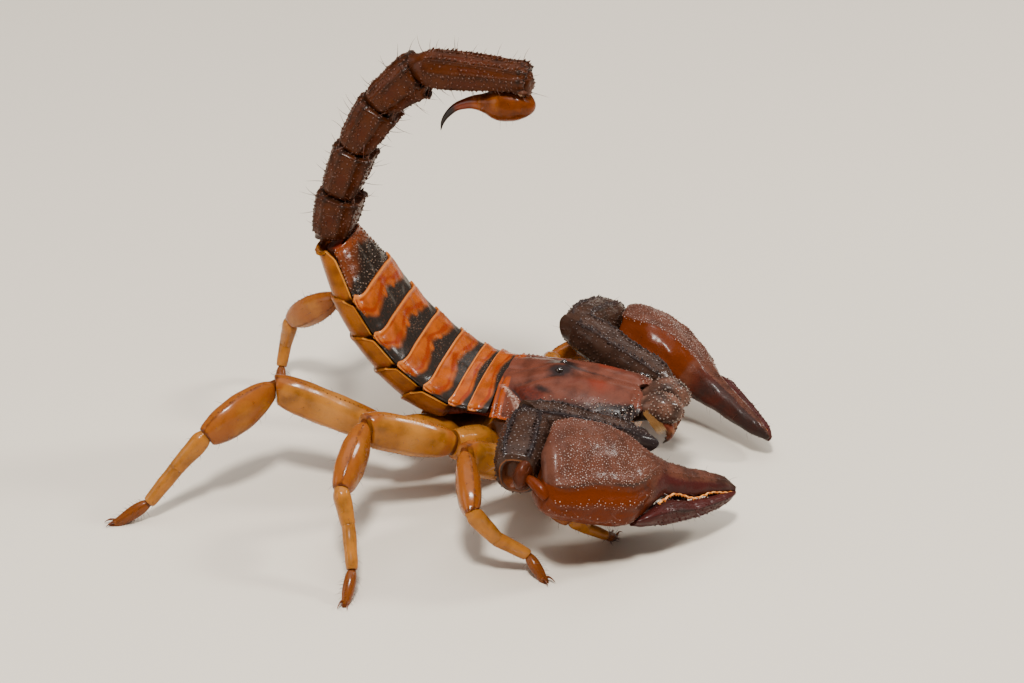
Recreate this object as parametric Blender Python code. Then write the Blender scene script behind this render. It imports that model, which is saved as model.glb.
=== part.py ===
"""Desert scorpion standing alert, its tail arched over its back: the construction solids.

The animal's own frame is in millimetres: X runs forward to the head, Y to the animal's left,
Z up from the floor.  build() moves it so that the middle of its footprint is the origin.
Every sub-part is one closed solid, and neighbours keep a thin clear gap at each joint.
"""
import math
from collections import namedtuple

import bmesh
import bpy
from mathutils import Vector

MM = 0.001
GAP = 0.12            # clear space between two neighbouring solids, mm

# ---- driving dimensions of the body, mm -------------------------------------------------------
CARAPACE_LENGTH = 13.4
CARAPACE_REAR_X = 0.1
CARAPACE_NOTCH = 1.0          # depth of the notch between the two front lobes
REAR_BOW = 0.2                # the shield's rear edge curves in by this much at the midline
HIP_PLANE_Y = 4.35            # the flat sides of the underside, where the legs begin
EYE_X = 5.3
EYE_SPREAD = 0.78             # each middle eye from the midline
EYE_RADIUS = 0.38
TRUNK_SIDES = 28              # faces round the trunk
TAIL_SIDES = 12
LIMB_SIDES = 10
HAND_SIDES = 14

Girth = namedtuple("Girth", "x z slope half_width dome depth")
Leg = namedtuple("Leg", "scale points")

# The trunk behind the head shield, at the joints between its seven back plates: where the side
# margin runs, its slope in degrees, and the body above and below that margin.
TRUNK = (
    Girth(-0.1, 8.80, 8, 5.45, 1.80, 1.30),
    Girth(-1.9, 9.00, 12, 5.60, 1.55, 1.50),
    Girth(-3.7, 9.50, 24, 5.75, 1.35, 3.05),
    Girth(-6.0, 10.75, 34, 5.80, 1.20, 3.70),
    Girth(-8.4, 12.65, 43, 5.70, 1.15, 3.60),
    Girth(-10.7, 15.15, 52, 5.35, 1.15, 3.40),
    Girth(-12.8, 18.20, 59, 4.65, 1.15, 3.05),
    Girth(-15.25, 21.95, 66, 2.60, 1.15, 2.10),
)
PLATE = 0.55                  # thickness of the back and belly plates
PLATE_STEP = 0.16             # how far a plate's rear rim stands over the next plate
BACK_MARGIN = 14              # the back plates end this many degrees above the side margin
BELLY_MARGIN = 20             # the belly plates begin this many degrees below it

# Tail joints along the arch, seen from the side (x, z), and each segment's half height.
TAIL_JOINTS = ((-15.95, 22.25), (-15.15, 26.35), (-13.65, 30.95), (-11.45, 35.40), (-7.95, 39.15),
               (2.10, 39.60))
TAIL_HALF_HEIGHT = (2.00, 1.85, 1.78, 1.72, 1.58)
TAIL_HALF_WIDTH = (2.15, 1.95, 1.85, 1.75, 1.65)
STING_PATH = ((-2.25, 36.62), (-3.40, 36.42), (-4.40, 35.95), (-5.20, 35.15), (-5.62, 34.40),
              (-5.80, 33.60))
STING_HALF = (0.50, 0.42, 0.34, 0.26, 0.17, 0.07)

# Leg joints from hip to foot: hip, end of the ring segment, knee, end of the shin's upper
# piece, ankle, heel, sole.  The right side is -Y.  Legs count from the head backwards.
LEGS = {
    "right_1": Leg(0.84, ((7.8, -4.35, 5.8), (7.4, -6.4, 5.8), (5.9, -10.6, 6.0), (9.6, -12.2, 3.6),
                          (10.6, -10.8, 2.1), (12.3, -10.3, 1.3), (12.5, -8.3, 0.0))),
    "right_2": Leg(1.05, ((4.0, -4.35, 5.6), (2.8, -7.2, 5.4), (0.0, -12.6, 9.0), (2.2, -18.0, 6.5),
                          (4.2, -17.2, 3.7), (6.7, -16.0, 1.8), (8.5, -17.1, 0.0))),
    "right_3": Leg(1.14, ((-0.5, -4.35, 5.9), (-2.7, -7.3, 6.7), (-9.2, -12.4, 10.3),
                          (-9.3, -19.0, 7.5), (-8.1, -20.6, 5.0), (-7.0, -23.0, 2.1),
                          (-6.9, -25.4, 0.0))),
    "right_4": Leg(1.12, ((-4.9, -4.35, 6.4), (-8.8, -6.7, 6.6), (-19.3, -7.6, 10.2),
                          (-23.9, -13.4, 7.4), (-26.1, -15.2, 4.7), (-28.2, -16.9, 1.8),
                          (-30.9, -18.5, 0.0))),
    "left_1": Leg(0.80, ((7.8, 4.35, 5.8), (8.0, 6.6, 5.8), (7.1, 11.2, 6.2), (7.9, 15.8, 3.2),
                         (8.9, 18.0, 1.8), (9.9, 19.8, 0.9), (10.9, 21.4, 0.0))),
    "left_2": Leg(0.95, ((4.0, 4.35, 5.6), (3.3, 7.2, 5.4), (1.2, 11.2, 6.2), (3.6, 17.4, 4.2),
                         (4.4, 19.8, 2.5), (5.2, 21.8, 1.1), (6.0, 23.8, 0.0))),
    "left_3": Leg(1.08, ((-0.5, 4.35, 5.9), (-2.9, 7.2, 6.2), (-10.2, 10.6, 8.2), (-13.6, 16.4, 6.3),
                         (-14.6, 18.2, 4.1), (-15.6, 20.2, 1.8), (-16.6, 22.6, 0.0))),
    "left_4": Leg(1.20, ((-4.9, 4.35, 6.2), (-8.8, 7.0, 6.7), (-18.6, 7.9, 11.4), (-24.3, 10.6, 6.9),
                         (-25.3, 11.4, 3.8), (-25.5, 10.6, 1.7), (-25.0, 8.6, 0.0))),
}
# The girth of each stretch of a leg: (fraction along, half side, half height).
RING_GIRTH = ((0.0, 1.00, 1.10), (0.45, 1.10, 1.20), (1.0, 0.92, 1.02))
THIGH_GIRTH = ((0.22, 1.02, 1.28), (0.60, 1.02, 1.34), (0.90, 0.96, 1.16), (1.0, 0.82, 0.95))
KNEE_GIRTH = ((0.0, 0.84, 1.00), (0.22, 1.02, 1.34), (0.65, 1.06, 1.42), (0.90, 0.90, 1.12),
              (1.0, 0.72, 0.90))
SHIN_GIRTH = ((0.0, 0.72, 0.88), (0.35, 0.82, 0.98), (1.0, 0.60, 0.68))
ANKLE_GIRTH = ((0.45, 0.62, 0.68), (1.0, 0.48, 0.54))
TOE_GIRTH = ((0.50, 0.50, 0.54), (1.0, 0.34, 0.36))
LEG_SAG = 1.30                # thighs and knee pieces are this much deeper below than above

# Pincer arms, right side as (x, y, z): socket at the head, end of the ring segment, elbow,
# end of the forearm, wrist, fingertip.
ARMS = {
    "right": ((11.9, -3.9, 7.4), (13.9, -5.3, 8.3), (4.9, -8.9, 11.2), (5.7, -16.2, 9.7),
              (7.3, -16.2, 10.2), (22.1, -3.4, 3.8)),
    "left": ((11.9, 3.9, 7.4), (13.9, 5.3, 8.3), (4.2, 9.4, 10.8), (5.5, 17.2, 7.5),
             (6.7, 18.0, 8.0), (22.7, 8.9, 2.3)),
}
WRIST_FACE = (0.98, -0.10, -0.15)       # which way the hand's root plane looks on the right arm
HAND_ROLL = {"right": 48, "left": 36}   # the hand's back leans outwards, degrees
HAND_LENGTH = 20.5
# The hand along its length: (along, inner edge, outer edge, half thickness).
PALM = ((0.20, -2.0, 2.0, 1.55), (1.2, -4.2, 3.5, 2.20), (2.7, -4.75, 3.8, 2.65),
        (4.6, -4.85, 3.95, 2.85), (6.8, -4.65, 4.05, 2.80), (8.8, -3.95, 3.95, 2.50))
FIXED_FINGER = ((10.6, -2.95, 2.75, 2.10), (12.4, -2.10, 1.55, 1.65), (15.0, -1.55, 1.35, 1.30),
                (17.6, -1.30, 0.80, 0.95), (19.6, -0.85, 0.25, 0.55), (20.5, -0.30, 0.00, 0.20))
MOVING_FINGER = ((9.6, 3.55, 4.00, 0.60), (10.8, 2.90, 3.95, 1.20), (12.5, 1.80, 3.70, 1.45),
                 (15.0, 1.65, 3.15, 1.20), (17.6, 1.10, 2.25, 0.90), (19.5, 0.60, 1.35, 0.55),
                 (20.5, 0.28, 0.65, 0.22))

ARM_RING = ((0.0, 1.05, 1.15), (0.4, 1.25, 1.35), (1.0, 1.20, 1.25))
UPPER_ARM = ((0.0, 1.15, 1.20), (0.12, 1.40, 1.45), (0.45, 1.50, 1.60), (0.80, 1.65, 1.75),
             (1.0, 1.45, 1.50))
FOREARM = ((0.0, 1.45, 1.50), (0.16, 1.85, 1.95), (0.50, 2.10, 2.35), (0.85, 2.05, 2.40),
           (1.0, 1.60, 1.90))

FINISHES = {                  # colour, roughness
    "mahogany_shell": ((0.16, 0.035, 0.018), 0.30),
    "rust_shell": ((0.42, 0.12, 0.035), 0.28),
    "black_shell": ((0.035, 0.022, 0.020), 0.34),
    "claw_shell": ((0.11, 0.040, 0.028), 0.36),
    "tail_shell": ((0.12, 0.045, 0.022), 0.38),
    "amber_shell": ((0.50, 0.18, 0.04), 0.22),
    "leg_shell": ((0.56, 0.32, 0.10), 0.30),
    "belly_shell": ((0.38, 0.26, 0.09), 0.34),
    "skin": ((0.20, 0.07, 0.04), 0.45),
    "eye": ((0.004, 0.004, 0.005), 0.05),
}


# ---- making solids ----------------------------------------------------------------------------
def finish_material(name):
    """Return the named finish, made on its first use."""
    made = bpy.data.materials.get(name)
    if made:
        return made
    colour, roughness = FINISHES[name]
    made = bpy.data.materials.new(name)
    made.use_nodes = True
    shader = made.node_tree.nodes["Principled BSDF"]
    shader.inputs["Base Color"].default_value = (*colour, 1.0)
    shader.inputs["Roughness"].default_value = roughness
    return made


def add_solid(name, shape, finish):
    """Close the bmesh, face it outwards and keep it as a named object in metres."""
    bmesh.ops.remove_doubles(shape, verts=shape.verts, dist=0.001)
    bmesh.ops.recalc_face_normals(shape, faces=shape.faces)
    bmesh.ops.scale(shape, vec=(MM, MM, MM), verts=shape.verts)
    mesh = bpy.data.meshes.new(name)
    shape.to_mesh(mesh)
    shape.free()
    mesh.shade_smooth()
    mesh.set_sharp_from_angle(angle=math.radians(40))
    mesh.materials.append(finish_material(finish))
    made = bpy.data.objects.new(name, mesh)
    bpy.context.collection.objects.link(made)
    return made


def oval(centre, along, upward, side, up, down, count, power=2.3):
    """Points of a rounded section across `along`, with its own height above and below."""
    along = along.normalized()
    across = upward.cross(along).normalized()
    rise = along.cross(across).normalized()
    points = []
    for step in range(count):
        angle = 2 * math.pi * step / count
        c, s = math.cos(angle), math.sin(angle)
        reach = side * math.copysign(abs(c) ** (2 / power), c)
        height = (up if s > 0 else down) * math.copysign(abs(s) ** (2 / power), s)
        points.append(centre + across * reach + rise * height)
    return points


def slide_to_plane(points, direction, origin, normal):
    """Slide each point along `direction` on to the plane through `origin`."""
    rate = direction.dot(normal)
    return [p + direction * ((origin - p).dot(normal) / rate) for p in points]


def keep_beyond(points, direction, origin, normal):
    """Push the points that lie behind the plane forward along `direction` on to it."""
    rate = direction.dot(normal)
    return [p + direction * (max(0.0, (origin - p).dot(normal)) / rate) for p in points]


def press_back(points, origin, normal):
    """Flatten what stands in front of the plane back on to it."""
    return [p - normal * max(0.0, (p - origin).dot(normal)) for p in points]


def skin(rings):
    """Close a row of rings with quads and a flat cap at each end."""
    shape = bmesh.new()
    rows = [[shape.verts.new(p) for p in ring] for ring in rings]
    count = len(rows[0])
    for row, following in zip(rows, rows[1:]):
        for step in range(count):
            turn = (step + 1) % count
            shape.faces.new((row[step], row[turn], following[turn], following[step]))
    shape.faces.new(list(reversed(rows[0])))
    shape.faces.new(rows[-1])
    return shape


def skin_sheet(top, bottom):
    """Close a plate from two grids of points, its outer face and its inner face."""
    shape = bmesh.new()
    outer = [[shape.verts.new(p) for p in row] for row in top]
    inner = [[shape.verts.new(p) for p in row] for row in bottom]
    rows, columns = len(outer), len(outer[0])
    for i in range(rows - 1):
        for j in range(columns - 1):
            shape.faces.new((outer[i][j], outer[i][j + 1], outer[i + 1][j + 1], outer[i + 1][j]))
            shape.faces.new((inner[i][j], inner[i + 1][j], inner[i + 1][j + 1], inner[i][j + 1]))
    rim = [(0, j) for j in range(columns)] + [(i, columns - 1) for i in range(1, rows)]
    rim += [(rows - 1, j) for j in range(columns - 2, -1, -1)] + [(i, 0) for i in range(rows - 2, 0, -1)]
    for here, there in zip(rim, rim[1:] + rim[:1]):
        shape.faces.new((outer[here[0]][here[1]], inner[here[0]][here[1]],
                         inner[there[0]][there[1]], outer[there[0]][there[1]]))
    return shape


def limb(name, finish, joints, girths, start_normal, end_normal, scale=1.0, count=LIMB_SIDES,
         gaps=(1, 1), power=2.3, facing=None, sag=1.0):
    """Loft one piece of a limb through its joints, with mitred ends.

    joints are the bend points; girths holds, for each stretch between two of them, rows of
    (fraction, half side, half height).  The ends lie in the planes given by the normals, and
    nothing stands in front of the plane `facing`, an origin and a normal.  `sag` makes the
    lower half deeper than the upper one.
    """
    directions = [(b - a).normalized() for a, b in zip(joints, joints[1:])]
    normals = [start_normal]
    normals += [(a + b).normalized() for a, b in zip(directions, directions[1:])]
    normals.append(end_normal)
    cuts = [point.copy() for point in joints]
    cuts[0] += start_normal * (gaps[0] * GAP / 2)
    cuts[-1] -= end_normal * (gaps[1] * GAP / 2)
    rings = []
    for index, (along, rows) in enumerate(zip(directions, girths)):
        upward = Vector((0, 0, 1)) - along * along.z
        if upward.length < 0.2:
            upward = Vector((1, 0, 0)) - along * along.x
        for fraction, side, height in rows:
            centre = joints[index].lerp(joints[index + 1], fraction)
            ring = oval(centre, along, upward, side * scale, height * scale,
                        height * scale * sag, count, power)
            if fraction == 0.0:
                ring = slide_to_plane(ring, along, cuts[index], normals[index])
            elif fraction == 1.0:
                ring = slide_to_plane(ring, along, cuts[index + 1], normals[index + 1])
            else:
                ring = keep_beyond(ring, along, cuts[index], normals[index])
                ring = keep_beyond(ring, -along, cuts[index + 1], -normals[index + 1])
            if facing:
                ring = press_back(ring, *facing)
            rings.append(ring)
    return add_solid(name, skin(rings), finish)


def mitre(before, at, after):
    """Return the normal of the plane that halves the bend at a joint."""
    return ((at - before).normalized() + (after - at).normalized()).normalized()


# ---- trunk ------------------------------------------------------------------------------------
def girth_at(position):
    """Blend the trunk's measures at a position counted in back plates."""
    low = min(int(position), len(TRUNK) - 2)
    share = position - low
    return Girth(*(a + (b - a) * share for a, b in zip(TRUNK[low], TRUNK[low + 1])))


def trunk_point(position, degrees, inset):
    """Return a point on the trunk's section, `inset` mm under its surface."""
    girth = girth_at(position)
    slope = math.radians(girth.slope)
    rise = Vector((math.sin(slope), 0, math.cos(slope)))
    angle = math.radians(degrees)
    c, s = math.cos(angle), math.sin(angle)
    height = (girth.dome if s > 0 else girth.depth) - inset
    reach = (girth.half_width - inset) * math.copysign(abs(c) ** 0.84, c)
    lift = height * math.copysign(abs(s) ** 0.84, s)
    return Vector((girth.x, reach, girth.z)) + rise * lift


def trunk_core():
    """Build the flesh inside the plates: it shows as the soft fold along each side."""
    rings = []
    for step in range(15):
        position = 0.04 + 6.92 * step / 14
        ring = []
        for turn in range(TRUNK_SIDES):
            degrees = 360 * turn / TRUNK_SIDES
            signed = math.degrees(math.asin(math.sin(math.radians(degrees))))
            covered = signed > BACK_MARGIN - 9 or (signed < 9 - BELLY_MARGIN and position > 1.9)
            ring.append(trunk_point(position, degrees, PLATE + 1.5 * GAP if covered else 0.25))
        rings.append(ring)
    add_solid("trunk_core", skin(rings), "skin")


def back_plate(number):
    """Build one of the seven plates of the back, its rear rim standing over the next."""
    front, rear = number - 1, number
    top, bottom = [], []
    for share in (0.0, 0.45, 0.85, 1.0):
        position = front + 0.035 + (rear - front - 0.07) * share
        stand = PLATE_STEP * (share - 0.2)
        span = [BACK_MARGIN + (180 - 2 * BACK_MARGIN) * step / 10 for step in range(11)]
        top.append([trunk_point(position, degrees, -stand) for degrees in span])
        bottom.append([trunk_point(position, degrees, PLATE) for degrees in span])
    finish = "black_shell" if number == 7 else "rust_shell"
    add_solid("back_plate_%d" % number, skin_sheet(top, bottom), finish)


def belly_plate(number, front, rear):
    """Build one plate of the belly, its sides running out past the soft fold."""
    top, bottom = [], []
    for share in (0.0, 0.5, 1.0):
        position = front + 0.03 + (rear - front - 0.06) * share
        stand = PLATE_STEP * (share - 0.1)
        span = [180 + BELLY_MARGIN + (180 - 2 * BELLY_MARGIN) * step / 10 for step in range(11)]
        top.append([trunk_point(position, degrees, -stand) for degrees in span])
        bottom.append([trunk_point(position, degrees, PLATE) for degrees in span])
    add_solid("belly_plate_%d" % number, skin_sheet(top, bottom), "belly_shell")


# ---- head and front body ----------------------------------------------------------------------
def along_table(table, x):
    """Read a value between the (x, value) rows of a table."""
    for (x0, v0), (x1, v1) in zip(table, table[1:]):
        if x <= x1:
            return v0 + (v1 - v0) * max(0.0, x - x0) / (x1 - x0)
    return table[-1][1]


SHIELD_RIDGE = ((0.0, 11.05), (2.0, 11.35), (4.4, 11.75), (8.5, 11.65), (12.0, 11.15), (14.0, 10.8))
SHIELD_MARGIN = ((0.0, 8.85), (6.0, 9.0), (14.0, 9.7))
SHIELD_HALF_WIDTH = ((0.0, 5.5), (3.0, 5.6), (7.0, 5.1), (11.0, 4.3), (14.0, 3.75))
UNDERSIDE_TOP = ((-7.0, 6.9), (-4.0, 6.4), (-1.0, 7.0), (0.2, 8.1), (6.0, 8.3), (12.2, 8.8))
UNDERSIDE_BOTTOM = ((-7.0, 5.8), (-4.0, 4.9), (0.0, 4.5), (5.0, 4.3), (9.0, 4.7), (12.2, 5.8))
UNDERSIDE_HALF = ((-7.0, 3.2), (-5.5, HIP_PLANE_Y), (8.6, HIP_PLANE_Y), (12.2, 3.2))


def shield_height(x, across):
    """Return the height of the head shield's upper face at a share of its half width."""
    ridge, margin = along_table(SHIELD_RIDGE, x), along_table(SHIELD_MARGIN, x)
    half = along_table(SHIELD_HALF_WIDTH, x)
    mound = 0.30 * math.exp(-((x - EYE_X) / 1.4) ** 2 - (across * half / 0.55) ** 2)
    return margin + (ridge - margin) * (1 - abs(across) ** 2.3) + mound


def carapace():
    """Build the domed shield over the head, with its notched front and eye mound."""
    top, bottom = [], []
    for row in range(13):
        share = row / 12
        upper, lower = [], []
        for column in range(13):
            across = -1 + 2 * column / 12
            notch = CARAPACE_NOTCH * math.exp(-(across / 0.28) ** 2)
            corner = 1.1 * abs(across) ** 5
            reach = CARAPACE_LENGTH - (notch + corner) * share ** 2
            rear = REAR_BOW * (1 - across ** 2)
            x = CARAPACE_REAR_X + rear + (reach - rear) * share
            half = along_table(SHIELD_HALF_WIDTH, x)
            margin = along_table(SHIELD_MARGIN, x)
            upper.append(Vector((x, across * half, shield_height(x, across))))
            lower.append(Vector((x, across * half * 0.97, margin - 0.35 - 0.1 * (1 - abs(across)))))
        top.append(upper)
        bottom.append(lower)
    add_solid("carapace", skin_sheet(top, bottom), "mahogany_shell")


def middle_eye(name, hand):
    """Build one of the two large eyes on the shield's mound."""
    shape = bmesh.new()
    bmesh.ops.create_icosphere(shape, subdivisions=2, radius=EYE_RADIUS)
    bmesh.ops.scale(shape, vec=(1.0, 0.8, 0.6), verts=shape.verts)
    across = EYE_SPREAD / along_table(SHIELD_HALF_WIDTH, EYE_X)
    lift = shield_height(EYE_X, across) + 0.6 * EYE_RADIUS + GAP
    bmesh.ops.translate(shape, verts=shape.verts, vec=(EYE_X, hand * EYE_SPREAD, lift))
    add_solid(name, shape, "eye")


def underside():
    """Build the block of leg bases and breastplate under the shield and the front trunk."""
    rings = []
    for x in (-7.0, -5.5, -4.0, -2.4, -1.0, 0.2, 2.5, 5.0, 8.6, 10.5, 12.2):
        low, high = along_table(UNDERSIDE_BOTTOM, x), along_table(UNDERSIDE_TOP, x)
        half = along_table(UNDERSIDE_HALF, x)
        middle, height = (low + high) / 2, (high - low) / 2
        ring = []
        for turn in range(16):
            angle = 2 * math.pi * (turn + 0.5) / 16
            c, s = math.cos(angle), math.sin(angle)
            reach = min(1.0, abs(c) ** 0.5 * 1.12)
            lift = min(1.0, abs(s) ** 0.6 * 1.10)
            ring.append(Vector((x, math.copysign(half * reach, c),
                                middle + math.copysign(height * lift, s))))
        rings.append(ring)
    add_solid("leg_bases_and_breastplate", skin(rings), "leg_shell")


def jaw(name, hand):
    """Build one of the two jaws: a round knob with its fingers turned down."""
    rows = ((12.35, 1.60, 8.10, 1.05, 0.85), (13.42, 1.72, 8.10, 1.35, 0.95),
            (13.62, 1.78, 9.15, 1.50, 1.30), (14.5, 1.80, 9.20, 1.58, 1.42),
            (15.3, 1.75, 8.85, 1.42, 1.30), (15.95, 1.60, 8.15, 1.10, 1.00),
            (16.25, 1.35, 7.35, 0.62, 0.70), (16.25, 1.10, 6.70, 0.28, 0.30))
    centres = [Vector((x, hand * y, z)) for x, y, z, _, _ in rows]
    rings = []
    for index, (_, _, _, side, height) in enumerate(rows):
        before, after = centres[max(index - 1, 0)], centres[min(index + 1, len(rows) - 1)]
        along = (after - before).normalized() if index > 3 else Vector((1, 0, 0))
        upward = Vector((0.3, 0, 1))
        rings.append(oval(centres[index], along, upward, side, height, height, LIMB_SIDES))
    add_solid(name, skin(rings), "black_shell")


# ---- tail -------------------------------------------------------------------------------------
def tail_segment(number):
    """Build one tail segment: narrow at its root, flared and toothed at its far end."""
    points = [Vector((x, 0, z)) for x, z in TAIL_JOINTS]
    start, end = points[number - 1], points[number]
    along = (end - start).normalized()
    upward = Vector((along.z, 0, -along.x))
    trunk_way = Vector((-math.cos(math.radians(64)), 0, math.sin(math.radians(64))))
    before = trunk_way if number == 1 else (start - points[number - 2]).normalized()
    after = (points[number + 1] - end).normalized() if number < 5 else Vector((0.93, 0, -0.37))
    start_normal, end_normal = (before + along).normalized(), (along + after).normalized()
    half, side = TAIL_HALF_HEIGHT[number - 1], TAIL_HALF_WIDTH[number - 1]
    rows = ((0.0, 0.78, 0.74, 0.82), (0.10, 0.90, 0.84, 0.92), (0.30, 0.98, 0.94, 1.0),
            (0.62, 1.0, 1.06, 1.02), (0.86, 1.0, 1.24, 1.04), (1.0, 0.84, 0.90, 0.98))
    if number == 5:
        rows = ((0.0, 0.86, 0.80, 0.90), (0.08, 0.94, 0.90, 0.96), (0.35, 1.0, 0.98, 1.02),
                (0.65, 1.0, 0.94, 1.04), (0.86, 0.96, 0.86, 1.06), (0.95, 1.0, 0.80, 1.16),
                (1.0, 0.84, 0.62, 0.98))
    rings = []
    for fraction, wide, high, low in rows:
        ring = oval(start.lerp(end, fraction), along, upward, side * wide, half * high, half * low,
                    TAIL_SIDES, 2.6)
        if fraction == 0.0:
            ring = slide_to_plane(ring, along, start + start_normal * GAP / 2, start_normal)
        if fraction == 1.0:
            ring = slide_to_plane(ring, along, end - end_normal * GAP / 2, end_normal)
        rings.append(ring)
    add_solid("tail_segment_%d" % number, skin(rings), "tail_shell")


def venom_bulb():
    """Build the bulb that hangs under the last segment, folded back along it."""
    rows = ((2.75, 37.20, 0.55, 0.60), (2.30, 37.05, 1.05, 0.98), (1.30, 36.75, 1.50, 1.26),
            (0.10, 36.58, 1.62, 1.34), (-0.95, 36.58, 1.38, 1.18), (-1.75, 36.62, 0.92, 0.82),
            (-2.25 + GAP / 2, 36.62, 0.55, 0.52))
    rings = [oval(Vector((x, 0, z)), Vector((-1, 0, 0)), Vector((0, 0, -1)), side, height, height,
                  TAIL_SIDES, 2.1) for x, z, side, height in rows]
    add_solid("venom_bulb", skin(rings), "amber_shell")


def sting():
    """Build the curved needle in front of the bulb."""
    points = [Vector((x, 0, z)) for x, z in STING_PATH]
    points[0].x -= GAP / 2
    rings = []
    for index, half in enumerate(STING_HALF):
        before, after = points[max(index - 1, 0)], points[min(index + 1, len(points) - 1)]
        along = (after - before).normalized() if index else Vector((-1, 0, 0))
        rings.append(oval(points[index], along, Vector((0, 1, 0)).cross(along), half, half, half, 8,
                          2.0))
    add_solid("sting", skin(rings), "black_shell")


# ---- pincer arms ------------------------------------------------------------------------------
def hand_frame(side):
    """Return the hand's wrist, its long way, its outer way and the way its back faces."""
    wrist, tip = Vector(ARMS[side][4]), Vector(ARMS[side][5])
    along = (tip - wrist).normalized()
    upright = (Vector((0, 0, 1)) - along * along.z).normalized()
    outward = upright.cross(along)
    if side == "left":
        outward = -outward
    outward = -outward if (outward.y > 0) == (side == "right") else outward
    roll = math.radians(HAND_ROLL[side])
    back = upright * math.cos(roll) + outward * math.sin(roll)
    outer = outward * math.cos(roll) - upright * math.sin(roll)
    return wrist, along, outer, back


def hand_ring(frame, scale, along_mm, inner, outer, thick, power):
    """Return one section of the hand or a finger, spanning from its inner to its outer edge."""
    wrist, along, outward, back = frame
    centre = wrist + along * (along_mm * scale) + outward * ((inner + outer) / 2 * scale)
    ring = []
    for step in range(HAND_SIDES):
        angle = 2 * math.pi * step / HAND_SIDES
        c, s = math.cos(angle), math.sin(angle)
        reach = (outer - inner) / 2 * math.copysign(abs(c) ** (2 / power), c)
        rise = thick * math.copysign(abs(s) ** (2 / power), s)
        ring.append(centre + (outward * reach + back * rise) * scale)
    return ring


def arm(side):
    """Build one pincer arm: ring segment, upper arm, forearm, hand and moving finger."""
    socket, ring_end, elbow, fore_end, wrist, tip = (Vector(point) for point in ARMS[side])
    hand = -1 if side == "right" else 1
    scale = (tip - wrist).length / HAND_LENGTH
    root = Vector((0.55, hand * 0.83, 0)).normalized()
    shoulder, bend = mitre(socket, ring_end, elbow), mitre(ring_end, elbow, fore_end)
    face = Vector((WRIST_FACE[0], -hand * WRIST_FACE[1], WRIST_FACE[2])).normalized()
    limb("arm_%s_ring" % side, "black_shell", (socket, ring_end), (ARM_RING,), root, shoulder,
         gaps=(2, 1))
    limb("arm_%s_upper" % side, "black_shell", (ring_end, elbow), (UPPER_ARM,), shoulder, bend)
    limb("arm_%s_fore" % side, "black_shell", (elbow, fore_end), (FOREARM,), bend,
         (fore_end - elbow).normalized(), facing=(wrist - face * GAP / 2, face))
    frame = hand_frame(side)
    rings = [hand_ring(frame, scale, *row, 2.5) for row in PALM]
    rings = [press_back(ring, wrist + face * GAP / 2, -face) for ring in rings]
    rings += [hand_ring(frame, scale, *row, 2.3) for row in FIXED_FINGER]
    palm = skin(rings)
    add_solid("hand_%s" % side, palm, "claw_shell")
    finger = skin([hand_ring(frame, scale, *row, 2.2) for row in MOVING_FINGER])
    add_solid("moving_finger_%s" % side, finger, "claw_shell")


# ---- legs -------------------------------------------------------------------------------------
def leg(name, measures):
    """Build one walking leg in three solids: thigh with its ring, knee piece, shin to sole."""
    points = [Vector(point) for point in measures.points]
    hand = -1 if "right" in name else 1
    hip, ring_end, knee, shin_top, ankle, heel, sole = points
    hip_normal = Vector((0, hand, 0))
    down = Vector((0, 0, -1))
    knee_plane = mitre(ring_end, knee, shin_top)
    shin_plane = mitre(knee, shin_top, ankle)
    limb("leg_%s_thigh" % name, "leg_shell", (hip, ring_end, knee), (RING_GIRTH, THIGH_GIRTH),
         hip_normal, knee_plane, measures.scale, gaps=(2, 1), sag=LEG_SAG)
    limb("leg_%s_knee" % name, "leg_shell", (knee, shin_top), (KNEE_GIRTH,), knee_plane, shin_plane,
         measures.scale, sag=LEG_SAG)
    limb("leg_%s_foot" % name, "leg_shell", (shin_top, ankle, heel, sole),
         (SHIN_GIRTH, ANKLE_GIRTH, TOE_GIRTH), shin_plane, down, measures.scale, gaps=(1, 0))


# ---- the whole animal -------------------------------------------------------------------------
def centre_on_floor():
    """Move every solid so that the model's footprint is centred and stands on the floor."""
    made = [item for item in bpy.data.objects if item.type == "MESH"]
    corners = [corner.co for item in made for corner in item.data.vertices]
    low = Vector(min(c[axis] for c in corners) for axis in range(3))
    high = Vector(max(c[axis] for c in corners) for axis in range(3))
    shift = Vector((-(low.x + high.x) / 2, -(low.y + high.y) / 2, -low.z))
    for item in made:
        for corner in item.data.vertices:
            corner.co += shift


def build():
    """Make every sub-part of the scorpion."""
    for item in list(bpy.data.objects):
        bpy.data.objects.remove(item, do_unlink=True)
    carapace()
    middle_eye("eye_left", 1)
    middle_eye("eye_right", -1)
    jaw("jaw_left", 1)
    jaw("jaw_right", -1)
    underside()
    trunk_core()
    for number in range(1, 8):
        back_plate(number)
    for number, (front, rear) in enumerate(((2.0, 3.2), (3.2, 4.15), (4.15, 5.1), (5.1, 6.05),
                                            (6.05, 7.0)), start=3):
        belly_plate(number, front, rear)
    for number in range(1, 6):
        tail_segment(number)
    venom_bulb()
    sting()
    for side in ARMS:
        arm(side)
    for name, measures in LEGS.items():
        leg(name, measures)
    centre_on_floor()


build()
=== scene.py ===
"""Desert scorpion: its finished looks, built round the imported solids.

Shapes are worked out in millimetres in the animal's own frame (X forwards, Y to its left, Z up
from the floor) and laid into the solids' frame, in metres, when a piece is finished.
"""
import logging
import math
from dataclasses import dataclass
from enum import Enum
from typing import Callable

import bpy
import numpy as np
from mathutils import Matrix, Vector


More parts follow.
